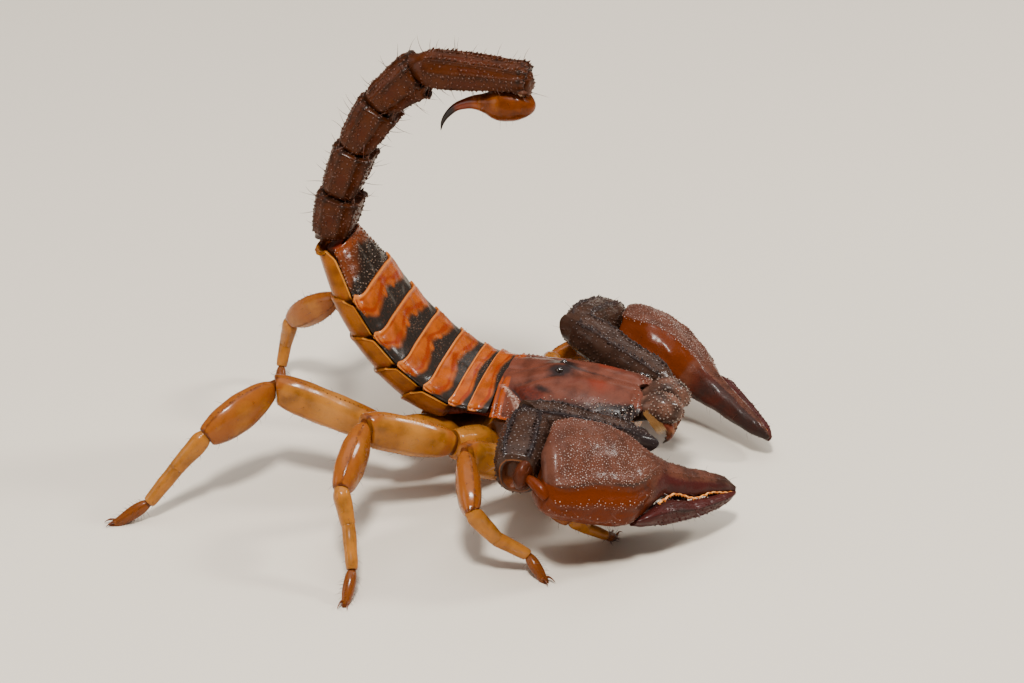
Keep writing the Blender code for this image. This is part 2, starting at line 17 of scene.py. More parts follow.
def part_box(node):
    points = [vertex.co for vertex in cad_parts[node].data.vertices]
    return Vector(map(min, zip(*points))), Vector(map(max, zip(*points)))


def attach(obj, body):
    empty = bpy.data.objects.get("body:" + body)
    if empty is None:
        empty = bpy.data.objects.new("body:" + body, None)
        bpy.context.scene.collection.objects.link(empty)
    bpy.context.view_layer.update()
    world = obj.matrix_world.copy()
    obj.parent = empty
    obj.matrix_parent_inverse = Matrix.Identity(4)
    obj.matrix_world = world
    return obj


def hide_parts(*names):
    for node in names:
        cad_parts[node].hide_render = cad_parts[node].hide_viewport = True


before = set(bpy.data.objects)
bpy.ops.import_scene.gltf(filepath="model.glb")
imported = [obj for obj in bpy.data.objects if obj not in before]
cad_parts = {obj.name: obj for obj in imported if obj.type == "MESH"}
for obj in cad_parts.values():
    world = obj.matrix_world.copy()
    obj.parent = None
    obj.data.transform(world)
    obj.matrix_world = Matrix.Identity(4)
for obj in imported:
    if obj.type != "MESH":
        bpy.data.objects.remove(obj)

Array = np.ndarray
Colour = tuple[float, float, float]
Form = Callable[[Array, Array], Array]
Marks = dict[str, Array]

log = logging.getLogger("scorpion")

MM = 0.001                    # one millimetre in the scene's metres
EYE_X, EYE_SPREAD = 5.3, 0.78     # where the middle eyes sit in the animal's own frame
MARK_NAMES = ("along", "side", "rise", "dark", "pale", "red", "grain")


class Side(Enum):
    """Which side of the body a limb is on: -1 is the right, +1 the left."""

    RIGHT = -1
    LEFT = 1

    @property
    def word(self) -> str:
        """The side's name as the solids spell it."""
        return self.name.lower()


# ---- small sums ----
def fit(table: tuple | Array, at: Array | float) -> Array:
    """Read a table on a smooth curve through its rows.

    Args:
        table: Rows of a place followed by one or more values.
        at: The places to read.

    Returns:
        One row of values for each place.
    """
    rows = np.asarray(table, float)
    places, values = rows[:, 0], rows[:, 1:]
    slopes = np.gradient(values, places, axis=0)
    at = np.clip(np.atleast_1d(np.asarray(at, float)), places[0], places[-1])
    low = np.clip(np.searchsorted(places, at, side="right") - 1, 0, len(places) - 2)
    span = (places[low + 1] - places[low])[:, None]
    t = ((at - places[low]) / span[:, 0])[:, None]
    return ((2 * t ** 3 - 3 * t ** 2 + 1) * values[low] + (t ** 3 - 2 * t ** 2 + t) * span
            * slopes[low]
            + (3 * t ** 2 - 2 * t ** 3) * values[low + 1] + (t ** 3 - t ** 2) * span
            * slopes[low + 1])


def swell(at: Array, middle: float, width: float) -> Array:
    """Return a soft bump of height 1 at `middle`."""
    return np.exp(-((at - middle) / width) ** 2)


def ease(at: Array, low: float, high: float) -> Array:
    """Return 0 below `low`, 1 beyond `high` and a smooth step between them."""
    t = np.clip((at - low) / (high - low), 0, 1)
    return t * t * (3 - 2 * t)


def lumps(points: Array, size: float, seed: int) -> Array:
    """Return a smooth uneven value between -1 and 1 at each point.

    Args:
        points: Points in millimetres, one row each.
        size: The usual distance between two lumps.
        seed: Picks the pattern.

    Returns:
        One value for each point.
    """
    draw = np.random.default_rng(seed)
    total = np.zeros(len(points))
    for _ in range(7):
        way = draw.normal(size=3)
        way *= 2 * math.pi / (size * 1.6) / np.linalg.norm(way)
        total += np.sin(points @ way + draw.uniform(0, 2 * math.pi))
    return total / 4.0


def unit(vectors: Array) -> Array:
    """Return the vectors at length 1."""
    return vectors / np.maximum(np.linalg.norm(vectors, axis=-1, keepdims=True), 1e-9)


def vec(*values: float) -> Array:
    """Return a vector of the given numbers."""
    return np.array(values, float)


# ---- shader sums ----
class Wire:
    """A node's output that takes part in Python sums."""

    def __init__(self, sheet: "NodeSheet", socket: bpy.types.NodeSocket) -> None:
        """Hold the output and the sheet that it is on."""
        self.sheet, self.socket = sheet, socket

    def _sum(self, operation: str, first: "Wire | float", second: "Wire | float") -> "Wire":
        """Add one Math node of two inputs."""
        return self.sheet.node("ShaderNodeMath", {"operation": operation}, {0: first, 1: second})

    def __add__(self, other: "Wire | float") -> "Wire":
        """Return self + other."""
        return self._sum("ADD", self, other)

    def __sub__(self, other: "Wire | float") -> "Wire":
        """Return self - other."""
        return self._sum("SUBTRACT", self, other)

    def __rsub__(self, other: float) -> "Wire":
        """Return other - self."""
        return self._sum("SUBTRACT", other, self)

    def __mul__(self, other: "Wire | float") -> "Wire":
        """Return self * other."""
        return self._sum("MULTIPLY", self, other)

    def __mul__(self, other: "Wire | float") -> "Wire":
        """Return self * other."""
        return self._sum("MULTIPLY", self, other)

    __radd__, __rmul__ = __add__, __mul__

    def peak(self, other: "Wire | float") -> "Wire":
        """Return the larger of self and other."""
        return self._sum("MAXIMUM", self, other)

    def ease(self, low: float, high: float, first: float = 0.0, last: float = 1.0) -> "Wire":
        """Step smoothly from `first` to `last` as the value goes from low to high."""
        return self.sheet.node("ShaderNodeMapRange", {"interpolation_type": "SMOOTHSTEP"},
                               {0: self, 1: low, 2: high, 3: first, 4: last})


class NodeSheet:
    """One material's nodes, made by calls."""

    def __init__(self, name: str) -> None:
        """Start a material with its Principled shader.

        Args:
            name: The material's name.
        """
        self.material = bpy.data.materials.new(name)
        self.material.use_nodes = True
        self.tree = self.material.node_tree
        self.shader = self.tree.nodes["Principled BSDF"]
        place = self.node("ShaderNodeTexCoord", {}, {}, "Object")
        self.place = self.node("ShaderNodeMapping", {}, {"Vector": place, "Scale": (1 / MM,) * 3})

    def node(self, kind: str, settings: dict, inputs: dict, output: int | str = 0) -> Wire:
        """Add a node.

        Args:
            kind: The node's type.
            settings: What is set on the node itself, first of all.
            inputs: Values or wires for its sockets, by name or number.
            output: Which output to return.

        Returns:
            The output as a wire.
        """
        made = self.tree.nodes.new(kind)
        for key, value in settings.items():
            setattr(made, key, value)
        for key, value in inputs.items():
            self.put(made.inputs[key], value)
        return Wire(self, made.outputs[output])

    def put(self, socket: bpy.types.NodeSocket, value: "Wire | float | tuple") -> None:
        """Link a wire to a socket, or set the socket's own value.

        Args:
            socket: The socket.
            value: A wire, a number or a colour.
        """
        if isinstance(value, Wire):
            self.tree.links.new(value.socket, socket)
            return
        if isinstance(value, tuple) and socket.type == "RGBA":
            value = (*value[:3], 1.0)
        socket.default_value = value

    def fill(self, sockets: dict) -> None:
        """Link or set the shader's own sockets, by name."""
        for name, value in sockets.items():
            self.put(self.shader.inputs[name], value)

    def mark(self, name: str) -> Wire:
        """Read one of the piece's own marks."""
        return self.node("ShaderNodeAttribute", {"attribute_name": name}, {}, "Fac")

    def noise(self, size: float, detail: float = 3.0) -> Wire:
        """Return a cloudy value with lumps of about `size` millimetres."""
        return self.node("ShaderNodeTexNoise", {},
                         {"Vector": self.place, "Scale": 1 / size, "Detail": detail})

    def cells(self, size: float) -> Wire:
        """Return the distance to the middle of cells of about `size` millimetres."""
        return self.node("ShaderNodeTexVoronoi", {}, {"Vector": self.place, "Scale": 1 / size})

    def mix(self, first: "Wire | Colour", second: "Wire | Colour", share: "Wire | float") -> Wire:
        """Blend two colours."""
        return self.node("ShaderNodeMix", {"data_type": "RGBA"}, {0: share, 6: first, 7: second},
                         2)


@dataclass(frozen=True)
class Finish:
    """A material that is made on its first use."""

    name: str
    slot: str

    def make(self) -> bpy.types.Material:
        """Return the material.

        Returns:
            The one that is already there, or a new one.
        """
        found = bpy.data.materials.get(self.name)
        if found:
            return found
        sheet = NodeSheet(self.name)
        sheet.fill(self.sockets(sheet))
        return sheet.material

    def sockets(self, sheet: NodeSheet) -> dict:
        """Return what each of the shader's sockets gets."""
        raise NotImplementedError


def shaded(colour: Colour, share: float) -> Colour:
    """Return a share of a colour's light."""
    return tuple(c * share for c in colour)


@dataclass(frozen=True)
class Shell(Finish):
    """A horny shell: four colours laid by the piece's marks, broken up by fine noise.

    The marks are dark, pale and red, each 0 to 1, and grain, which is 1 on the tips of grains,
    where the tip colour is partly the grains' paler colour and partly a painted glint.
    """

    main: Colour
    dark: Colour
    pale: Colour
    red: Colour
    # on the tips of grains and teeth: partly their paler colour, partly a painted glint
    tip: Colour
    rough: float = 0.30
    coat: float = 0.35
    grit: float = 0.35            # depth of the fine relief
    grit_size: float = 0.16       # millimetres from one fine pit to the next
    ragged: float = 0.5           # how far noise breaks up the edges between the colours
    glow: float = 0.0             # how far light soaks in
    shine: float = 0.05           # strength of the plain reflection

    def sockets(self, sheet: NodeSheet) -> dict:
        """Lay the colours, the gloss and the fine relief.

        Args:
            sheet: The material's nodes.

        Returns:
            What each of the shader's sockets gets.
        """
        cloud, fine = sheet.noise(1.3, 4.0), sheet.noise(0.22, 4.0)
        broken = (cloud - 0.5) * self.ragged + (fine - 0.5) * (self.ragged * 0.7)
        shade = sheet.mix(self.main, shaded(self.main, 0.55), cloud.ease(0.35, 0.75))
        shade = sheet.mix(shade, self.red, (sheet.mark("red") + broken).ease(0.25, 0.8))
        shade = sheet.mix(shade, self.pale, (sheet.mark("pale") + broken * 0.5).ease(0.3, 0.75))
        shade = sheet.mix(shade, self.dark, (sheet.mark("dark") + broken).ease(0.15, 0.85))
        grain = sheet.mark("grain")
        # painted glints: the tip colour on the grains' tips, brighter on some grains than on
        # others
        shade = sheet.mix(shade, self.tip, grain.ease(0.30, 1.0)
                          * fine.ease(0.38, 0.62, 0.12, 0.95))
        shade = sheet.mix(shade, shaded(self.main, 0.35), fine.ease(0.56, 0.72) * 0.3)
        rough = self.rough + (fine - 0.5) * 0.22 + (cloud - 0.5) * 0.16 - grain * 0.08
        pits = sheet.cells(self.grit_size).ease(0.0, 0.75)
        height = pits * -0.6 + sheet.noise(self.grit_size * 0.5, 2.0) * 0.5
        bump = sheet.node("ShaderNodeBump", {},
                          {"Strength": self.grit, "Distance": 0.05 * MM, "Height": height})
        made = {"Base Color": shade, "Roughness": rough.peak(0.08), "Normal": bump,
                "Coat Weight": self.coat, "Coat Roughness": 0.16, "IOR": 1.53,
                "Specular IOR Level": self.shine}
        if self.glow:
            made |= {"Subsurface Weight": self.glow, "Subsurface Radius": (1.0, 0.42, 0.12),
                     "Subsurface Scale": 0.9 * MM}
        return made


@dataclass(frozen=True)
class Lens(Finish):
    """The wet black surface of an eye."""

    def sockets(self, sheet: NodeSheet) -> dict:
        """Return what each of the shader's sockets gets.

        Args:
            sheet: The material's nodes.

        Returns:
            The sockets' values, by name.
        """
        shade = sheet.mix((0.004, 0.004, 0.005), (0.03, 0.014, 0.008), sheet.noise(0.25))
        return {"Base Color": shade, "Roughness": sheet.noise(0.1).ease(0.2, 0.9, 0.03, 0.09),
                "Coat Weight": 1.0, "Coat Roughness": 0.02}


@dataclass(frozen=True)
class Bristle(Finish):
    """The stiff hairs: red-brown, paler towards their tips."""

    root: Colour
    tip: Colour

    def sockets(self, sheet: NodeSheet) -> dict:
        """Return what each of the shader's sockets gets.

        Args:
            sheet: The material's nodes.

        Returns:
            The sockets' values, by name.
        """
        shade = sheet.mix(self.root, self.tip, sheet.mark("along").ease(0.1, 1.0))
        shade = sheet.mix(shade, self.root, sheet.noise(0.8).ease(0.45, 0.7) * 0.5)
        return {"Base Color": shade, "Roughness": sheet.noise(0.5).ease(0.2, 0.8, 0.28, 0.45)}


class Finishes:
    """Every finish of the animal."""

    # Each shell's fifth colour, for the tips of its grains and teeth, is partly their paler colour
    # and partly a painted glint.
    SHIELD = Shell("shield_mahogany", "mahogany_shell", (0.125, 0.037, 0.022),
                   (0.016, 0.009, 0.008),
                   (0.25, 0.042, 0.005), (0.17, 0.020, 0.006), (0.42, 0.30, 0.24), 0.30, 0.12,
                   0.22)
    BACK = Shell("back_rust", "rust_shell", (0.36, 0.070, 0.006), (0.020, 0.015, 0.012),
                 (0.50, 0.150, 0.030), (0.22, 0.026, 0.004), (0.20, 0.11, 0.07), 0.27, 0.16, 0.14,
                 0.16, 0.18)
    LAST_BACK = Shell("back_black", "black_shell", (0.110, 0.026, 0.008), (0.016, 0.010, 0.007),
                      (0.30, 0.070, 0.014), (0.17, 0.034, 0.007), (0.24, 0.15, 0.10), 0.24, 0.30,
                      0.45, 0.22)
    BELLY = Shell("belly_olive", "belly_shell", (0.26, 0.075, 0.005), (0.080, 0.022, 0.003),
                  (0.46, 0.18, 0.030), (0.20, 0.035, 0.006), (0.4, 0.22, 0.07), 0.30, 0.1, 0.15,
                  0.3,
                  0.4, 0.15)
    TAIL = Shell("tail_brown", "tail_shell", (0.060, 0.0140, 0.0030), (0.019, 0.008, 0.0045),
                 (0.100, 0.025, 0.004), (0.060, 0.010, 0.0022), (0.17, 0.09, 0.07), 0.34, 0.14,
                 0.5)
    BULB = Shell("bulb_amber", "amber_shell", (0.150, 0.031, 0.002), (0.042, 0.008, 0.002),
                 (0.34, 0.098, 0.008), (0.16, 0.025, 0.004), (0.3, 0.1, 0.03), 0.25, 0.20, 0.15,
                 0.2,
                 0.3, 0.15)
    STING = Shell("sting_dark", "black_shell", (0.16, 0.028, 0.005), (0.008, 0.004, 0.004),
                  (0.32, 0.075, 0.01), (0.15, 0.02, 0.005), (0.2, 0.1, 0.05), 0.18, 0.5, 0.06)
    ARM = Shell("arm_black", "black_shell", (0.046, 0.022, 0.014), (0.020, 0.014, 0.014),
                (0.26, 0.075, 0.016), (0.110, 0.028, 0.008), (0.26, 0.21, 0.20), 0.32, 0.22, 0.5)
    # The hand's tip colour is bright: a painted glint on its grains, strongest by the keel.
    HAND = Shell("hand_brown", "claw_shell", (0.102, 0.036, 0.022), (0.024, 0.014, 0.012),
                 (0.104, 0.0165, 0.0012), (0.052, 0.0105, 0.0090), (0.52, 0.38, 0.33), 0.33, 0.12,
                 0.45)
    TEETH = Shell("teeth_orange", "claw_shell", (0.70, 0.20, 0.03), (0.05, 0.01, 0.006),
                  (0.85, 0.36, 0.10), (0.4, 0.06, 0.01), (0.8, 0.35, 0.12), 0.30, 0.3, 0.1)
    LEG = Shell("leg_tan", "leg_shell", (0.35, 0.125, 0.016), (0.090, 0.022, 0.005),
                (0.56, 0.240, 0.050), (0.25, 0.070, 0.010), (0.35, 0.18, 0.08), 0.25, 0.32, 0.16,
                0.3,
                0.3, 0.15)
    JAW = Shell("jaw_dark", "black_shell", (0.150, 0.070, 0.047), (0.030, 0.017, 0.013),
                (0.36, 0.15, 0.040), (0.15, 0.026, 0.010), (0.34, 0.26, 0.21), 0.26, 0.24, 0.6,
                0.24)
    SKIN = Shell("soft_skin", "skin", (0.070, 0.016, 0.006), (0.020, 0.008, 0.005),
                 (0.42, 0.27, 0.18), (0.14, 0.018, 0.007), (0.3, 0.1, 0.05), 0.42, 0.1, 0.7, 0.30)
    EYE = Lens("eye_black", "eye")
    LONG_HAIR = Bristle("hair_red", "tail_shell", (0.05, 0.012, 0.005), (0.13, 0.036, 0.012))
    BRUSH = Bristle("hair_tan", "leg_shell", (0.24, 0.11, 0.03), (0.60, 0.36, 0.15))


# ---- shaping ----
class Clay:
    """One mesh while it is being shaped, in millimetres."""

    shift = Vector((0, 0, 0))     # from the animal's own frame to the solids' frame, metres

    def __init__(self, made: bpy.types.Object) -> None:
        """Hold the object."""
        self.made = made

    # -- starting a shape
    @staticmethod
    def deselect() -> None:
        """Let go of everything."""
        bpy.ops.object.select_all(action="DESELECT")

    @classmethod
    def tube(cls, name: str, rings: Array, marks: Marks | None = None) -> "Clay":
        """Extrude a circle ring by ring and lay each ring on its section.

        Args:
            name: The object's name.
            rings: Points as (ring, step, xyz).
            marks: Values for the points, each as (ring, step).

        Returns:
            The closed tube.
        """
        count, steps = rings.shape[:2]
        cls.deselect()
        bpy.ops.mesh.primitive_circle_add(vertices=steps, radius=1.0, fill_type="NGON")
        made = bpy.context.active_object
        made.name = name
        bpy.ops.object.mode_set(mode="EDIT")
        bpy.ops.mesh.select_all(action="SELECT")
        for _ in range(count - 1):
            bpy.ops.mesh.extrude_region_move(TRANSFORM_OT_translate={"value": (0, 0, 1)})
        bpy.ops.object.mode_set(mode="OBJECT")
        shape = cls(made).order()
        flat = shape.points()
        ring = np.rint(flat[:, 2]).astype(int)
        angle = np.arctan2(flat[:, 0], flat[:, 1]) / (2 * math.pi)
        step = np.rint(angle * steps).astype(int) % steps
        shape.lay(rings[ring, step])
        turn = 2 * math.pi * step / steps
        shape.mark("along", ring / max(count - 1, 1))
        shape.mark("side", np.cos(turn))
        shape.mark("rise", np.sin(turn))
        for key, values in (marks or {}).items():
            shape.mark(key, values[ring, step])
        shape.clean()
        return shape

    @classmethod
    def sheet(cls, name: str, along: int, across: int, form: Form) -> "Clay":
        """Lay a grid on a form that takes along (0 to 1) and side (-1 to 1).

        Args:
            name: The object's name.
            along: Cells along it.
            across: Cells across it.
            form: Gives the points' places.

        Returns:
            The open sheet.
        """
        cls.deselect()
        bpy.ops.mesh.primitive_grid_add(x_subdivisions=across, y_subdivisions=along, size=2.0)
        made = bpy.context.active_object
        made.name = name
        shape = cls(made)
        flat = shape.points()
        share, side = (flat[:, 1] + 1) / 2, flat[:, 0]
        shape.lay(form(share, side))
        spread = shape.points() - shape.points().mean(axis=0)
        if (spread * shape.normals()).sum() < 0:
            made.data.flip_normals()
        shape.mark("along", share)
        shape.mark("side", side)
        shape.mark("rise", np.ones(len(flat)))
        return shape

    @classmethod
    def ball(cls, name: str, centre: Array, radii: tuple, segments: int,
             turn: Matrix | None = None) -> "Clay":
        """Add a sphere squeezed to three radii and turned into place.

        Args:
            name: The object's name.
            centre: Its middle.
            radii: Its three radii.
            segments: Cells round it.
            turn: How it is turned.

        Returns:
            The closed ball.
        """
        cls.deselect()
        bpy.ops.mesh.primitive_uv_sphere_add(segments=segments, ring_count=segments // 2,
                                             radius=1.0)
        made = bpy.context.active_object
        made.name = name
        shape = cls(made).order()
        place = Matrix.Translation(Vector(centre)) @ (turn or Matrix.Identity(4))
        made.data.transform(place @ Matrix.Diagonal((*radii, 1.0)))
        return shape

    # -- reading and writing
    def vectors(self, key: str) -> Array:
        """Return one vector for each point, read from the mesh.

        Args:
            key: What is read, co or normal.

        Returns:
            One row for each point.
        """
        flat = np.empty(len(self.made.data.vertices) * 3, np.float32)
        self.made.data.vertices.foreach_get(key, flat)
        return flat.reshape(-1, 3).astype(float)

    def points(self) -> Array:
        """Return every point."""
        return self.vectors("co")

    def normals(self) -> Array:
        """Return the outward direction at every point."""
        return self.vectors("normal")

    def lay(self, points: Array) -> None:
        """Put every point in its new place."""
        self.made.data.vertices.foreach_set("co", points.astype(np.float32).ravel())
        self.made.data.update()

    def mark(self, name: str, values: Array | float) -> "Clay":
        """Give every point a value under a name.

        Args:
            name: The mark's name.
            values: One value for each point, or one for all.

        Returns:
            The shape.
        """
        layer = self.made.data.attributes.get(name)
        if layer is None:
            layer = self.made.data.attributes.new(name, "FLOAT", "POINT")
        layer.data.foreach_set("value", np.broadcast_to(values,
                                                        len(layer.data)).astype(np.float32))
        return self

    def tint(self, **marks: Array | float) -> "Clay":
        """Give every point a value under each name, held between 0 and 1."""
        for name, values in marks.items():
            self.mark(name, np.clip(values, 0, 1))
        return self

    def read(self, name: str) -> Array:
        """Return the values under a name, or zeros.

        Args:
            name: The mark's name.

        Returns:
            One value for each point.
        """
        layer = self.made.data.attributes.get(name)
        values = np.zeros(len(self.made.data.vertices), np.float32)
        if layer is not None:
            layer.data.foreach_get("value", values)
        return values.astype(float)

    def bare(self) -> Array:
        """Return 1 where neither a grain nor a tooth stands, else 0."""
        return self.read("grain") < 0.01

    def turn(self) -> Array:
        """Return each point's place round its section in degrees, -90 to 270."""
        return (np.degrees(np.arctan2(self.read("rise"), self.read("side"))) + 90) % 360 - 90

    def lumps(self, size: float, seed: int) -> Array:
        """Return a smooth uneven value between -1 and 1 at every point."""
        return lumps(self.points(), size, seed)

    # -- shaping tools
    def hold(self) -> None:
        """Select this object alone."""
        self.deselect()
        self.made.select_set(True)
        bpy.context.view_layer.objects.active = self.made

    def order(self) -> "Clay":
        """Put points and faces in one fixed order, because an operator's own order may vary."""
        points = self.points()
        ranks = np.lexsort(np.round(points, 3).T)
        place = np.argsort(ranks).tolist()
        faces = []
        for face in self.made.data.polygons:
            corners = [place[corner] for corner in face.vertices]
            first = corners.index(min(corners))
            faces.append(corners[first:] + corners[:first])
        self.made.data.clear_geometry()
        self.made.data.from_pydata(points[ranks].tolist(), [], sorted(faces))
        self.made.data.update()
        return self

    def clean(self) -> "Clay":
        """Merge doubled points and face the mesh outwards."""
        self.hold()
        bpy.ops.object.mode_set(mode="EDIT")
        bpy.ops.mesh.select_all(action="SELECT")
        bpy.ops.mesh.remove_doubles(threshold=0.001)
        bpy.ops.mesh.normals_make_consistent(inside=False)
        bpy.ops.object.mode_set(mode="OBJECT")
        return self

    def modify(self, kind: str, **settings: object) -> "Clay":
        """Apply a modifier with the given settings.

        Args:
            kind: The modifier's type.
            settings: What is set on it.

        Returns:
            The shape.
        """
        modifier = self.made.modifiers.new(kind.title(), kind)
        for key, value in settings.items():
            setattr(modifier, key, value)
        self.hold()
        bpy.ops.object.modifier_apply(modifier=modifier.name)
        return self

    def swell_by(self, heights: Array) -> "Clay":
        """Push each point out along its normal."""
        self.lay(self.points() + self.normals() * heights[:, None])
        return self

    def fill_marks(self) -> None:
        """Give the points a zero under every name that they lack."""
        for name in MARK_NAMES:
            if self.made.data.attributes.get(name) is None:
                self.mark(name, 0.0)

    def join(self, others: list["Clay"]) -> "Clay":
        """Take other shapes into this one.

        Args:
            others: The shapes that it takes in.

        Returns:
            The joined shape.
        """
        for shape in (self, *others):
            shape.fill_marks()
        self.hold()
        for other in others:
            other.made.select_set(True)
        if others:
            bpy.ops.object.join()
        return self

    def settle(self, finish: Finish, *nodes: str, crease: float = 50.0) -> None:
        """Scale the shape into the solids' frame and dress it.

        Args:
            finish: Its material.
            nodes: The solids that it stands for.
            crease: Edges sharper than this many degrees stay sharp.
        """
        self.fill_marks()
        points = self.points()
        points[:, 2] = np.maximum(points[:, 2], 0.0)
        self.lay(points)
        self.made.data.transform(Matrix.Translation(self.shift) @ Matrix.Scale(MM, 4))
        self.hold()
        bpy.ops.object.shade_smooth_by_angle(angle=math.radians(crease))
        self.made.data.materials.clear()
        self.made.data.materials.append(finish.make())
        self.made.data.name = self.made.name
        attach(self.made, "root")
        if nodes:
            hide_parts(*nodes)
        log.info("%s: %d faces", self.made.name, len(self.made.data.polygons))

    # -- finding places on the surface
    def spots(self, spacing: float, share: Array, seed: int) -> tuple[Array, Array, Array]:
        """Scatter places over the surface, kept apart from each other.

        Args:
            spacing: The least distance between two places.
            share: How thickly each point's surroundings are covered, 0 to 1.
            seed: Picks the places.

        Returns:
            The places, the outward directions there, and the nearest point's number.
        """
        draw = np.random.default_rng(seed)
        data = self.made.data
        share = np.pad(share, (0, len(data.vertices) - len(share)))
        data.calc_loop_triangles()
        corners = np.empty(len(data.loop_triangles) * 3, np.int32)
        data.loop_triangles.foreach_get("vertices", corners)
        corners = corners.reshape(-1, 3)
        points, normals = self.points(), self.normals()
        a, b, c = (points[corners[:, k]] for k in range(3))
        weight = np.linalg.norm(np.cross(b - a, c - a), axis=1) / 2 * share[corners].mean(axis=1)
        if weight.sum() <= 0:
            return np.empty((0, 3)), np.empty((0, 3)), np.empty(0, int)
        count = int(weight.sum() / spacing ** 2 * 2.2) + 1
        picked = draw.choice(len(corners), count, p=weight / weight.sum())
        u, v = draw.random(count), draw.random(count)
        u, v = np.where(u + v > 1, 1 - u, u), np.where(u + v > 1, 1 - v, v)
        a, b, c, u, v = a[picked], b[picked], c[picked], u[:, None], v[:, None]
        places = a + (b - a) * u + (c - a) * v
        taken: dict[tuple[int, int, int], list[int]] = {}
        kept = []
        cells = np.floor(places / spacing).astype(int)
        near = [(x, y, z) for x in (-1, 0, 1) for y in (-1, 0, 1) for z in (-1, 0, 1)]
        for index in range(count):
            i, j, k = cells[index]
            place = places[index]
            close = (other for x, y, z in near for other in taken.get((i + x, j + y, k + z), ()))
            if any(((places[other] - place) ** 2).sum() < spacing ** 2 for other in close):
                continue
            taken.setdefault((i, j, k), []).append(index)
            kept.append(index)
        kept = np.array(kept, int)
        root = corners[picked[kept], 0]
        return places[kept], unit(normals[corners[picked[kept]]].mean(axis=1)), root

    def nearest(self, places: Array) -> tuple[Array, Array]:
        """Return the surface's nearest places and their outward directions."""
        hits = [self.made.closest_point_on_mesh(Vector(place)) for place in places]
        return np.array([hit[1][:] for hit in hits]), np.array([hit[2][:] for hit in hits])


class Stamp:
    """A small shape, modelled once, that is pressed on to a surface many times."""

    def __init__(self, points: Array, faces: list[tuple[int, ...]]) -> None:
        """Hold the shape: its root in the plane Z = 0 and its tip at 1 along +Z."""
        self.points, self.faces = points, faces
        self.bend = np.zeros(len(points))

    @classmethod
    def grain(cls) -> "Stamp":
        """Model a low round grain: a six-sided disc, inset twice towards its top."""
        Clay.deselect()
        bpy.ops.mesh.primitive_circle_add(vertices=6, radius=1.0, fill_type="NGON")
        bpy.ops.object.mode_set(mode="EDIT")
        bpy.ops.mesh.select_all(action="SELECT")
        bpy.ops.mesh.inset(thickness=0.28)
        bpy.ops.transform.translate(value=(0, 0, 0.62))
        bpy.ops.mesh.inset(thickness=0.42)
        bpy.ops.transform.translate(value=(0, 0, 0.32))
        bpy.ops.mesh.poke()
        bpy.ops.object.mode_set(mode="OBJECT")
        return cls.lift(bpy.context.active_object)

    @classmethod
    def cone(cls, sides: int, cuts: int, hook: float) -> "Stamp":
        """Model a cone of `sides` faces, cut across `cuts` times and bent over by `hook`.

        Args:
            sides: Faces round it.
            cuts: Rings along it.
            hook: How far its tip bends over.

        Returns:
            The shape.
        """
        Clay.deselect()
        bpy.ops.mesh.primitive_circle_add(vertices=sides, radius=1.0, fill_type="NGON")
        bpy.ops.object.mode_set(mode="EDIT")
        bpy.ops.mesh.select_all(action="SELECT")
        for _ in range(cuts):
            bpy.ops.mesh.extrude_region_move(TRANSFORM_OT_translate={"value": (0, 0, 1)})
        bpy.ops.mesh.merge(type="CENTER")
        bpy.ops.object.mode_set(mode="OBJECT")
        stamp = cls.lift(bpy.context.active_object)
        height = stamp.points[:, 2] / cuts
        stamp.points[:, :2] *= (1 - height * 0.85)[:, None]
        stamp.points[:, 2] = height
        stamp.bend = hook * height ** 2
        return stamp

    @classmethod
    def lift(cls, made: bpy.types.Object) -> "Stamp":
        """Read a modelled shape and take its object away.

        Args:
            made: The modelled object.

        Returns:
            The shape.
        """
        Clay(made).order()
        points = np.array([v.co[:] for v in made.data.vertices])
        faces = [tuple(f.vertices) for f in made.data.polygons]
        bpy.data.objects.remove(made, do_unlink=True)
        return cls(points, faces)

    def press(self, name: str, places: Array, normals: Array, widths: Array | float,
              heights: Array | float, lean: Array | None = None,
              marks: Marks | None = None) -> Clay:
        """Join one copy of the shape for each place into a single mesh.

        Args:
            name: The new object's name.
            places: Where the roots stand.
            normals: Which way the tips point.
            widths: Half the width of the copies.
            heights: The height of the copies.
            lean: The way that a hook bends.
            marks: Values for the copies, under names.

        Returns:
            The joined mesh.
        """
        count, step = len(places), len(self.points)
        widths, heights = (np.broadcast_to(size, count) for size in (widths, heights))
        rise = unit(np.asarray(normals, float))
        guide = np.broadcast_to(vec(0.31, 0.17, 0.93) if lean is None else lean, rise.shape)
        right = unit(guide - rise * (guide * rise).sum(axis=1)[:, None] + 1e-6)
        front = np.cross(rise, right)
        tall = (self.points[None, :, 2] * heights[:, None])[..., None]
        bend = (self.bend[None, :] * heights[:, None])[..., None]
        flat = self.points[None, :, :2] * widths[:, None, None]
        made = (places[:, None] + right[:, None] * (flat[..., :1] + bend)
                + front[:, None] * flat[..., 1:] + rise[:, None] * tall)
        faces = [tuple(v + copy * step for v in face) for copy in range(count)
                 for face in self.faces]
        mesh = bpy.data.meshes.new(name)
        mesh.from_pydata(made.reshape(-1, 3).tolist(), [], faces)
        mesh.update()
        item = bpy.data.objects.new(name, mesh)
        bpy.context.scene.collection.objects.link(item)
        shape = Clay(item)
        shape.mark("grain", np.tile(self.points[:, 2] / self.points[:, 2].max(), count))
        for key, values in (marks or {}).items():
            shape.mark(key, np.repeat(np.broadcast_to(values, count), step))
        return shape


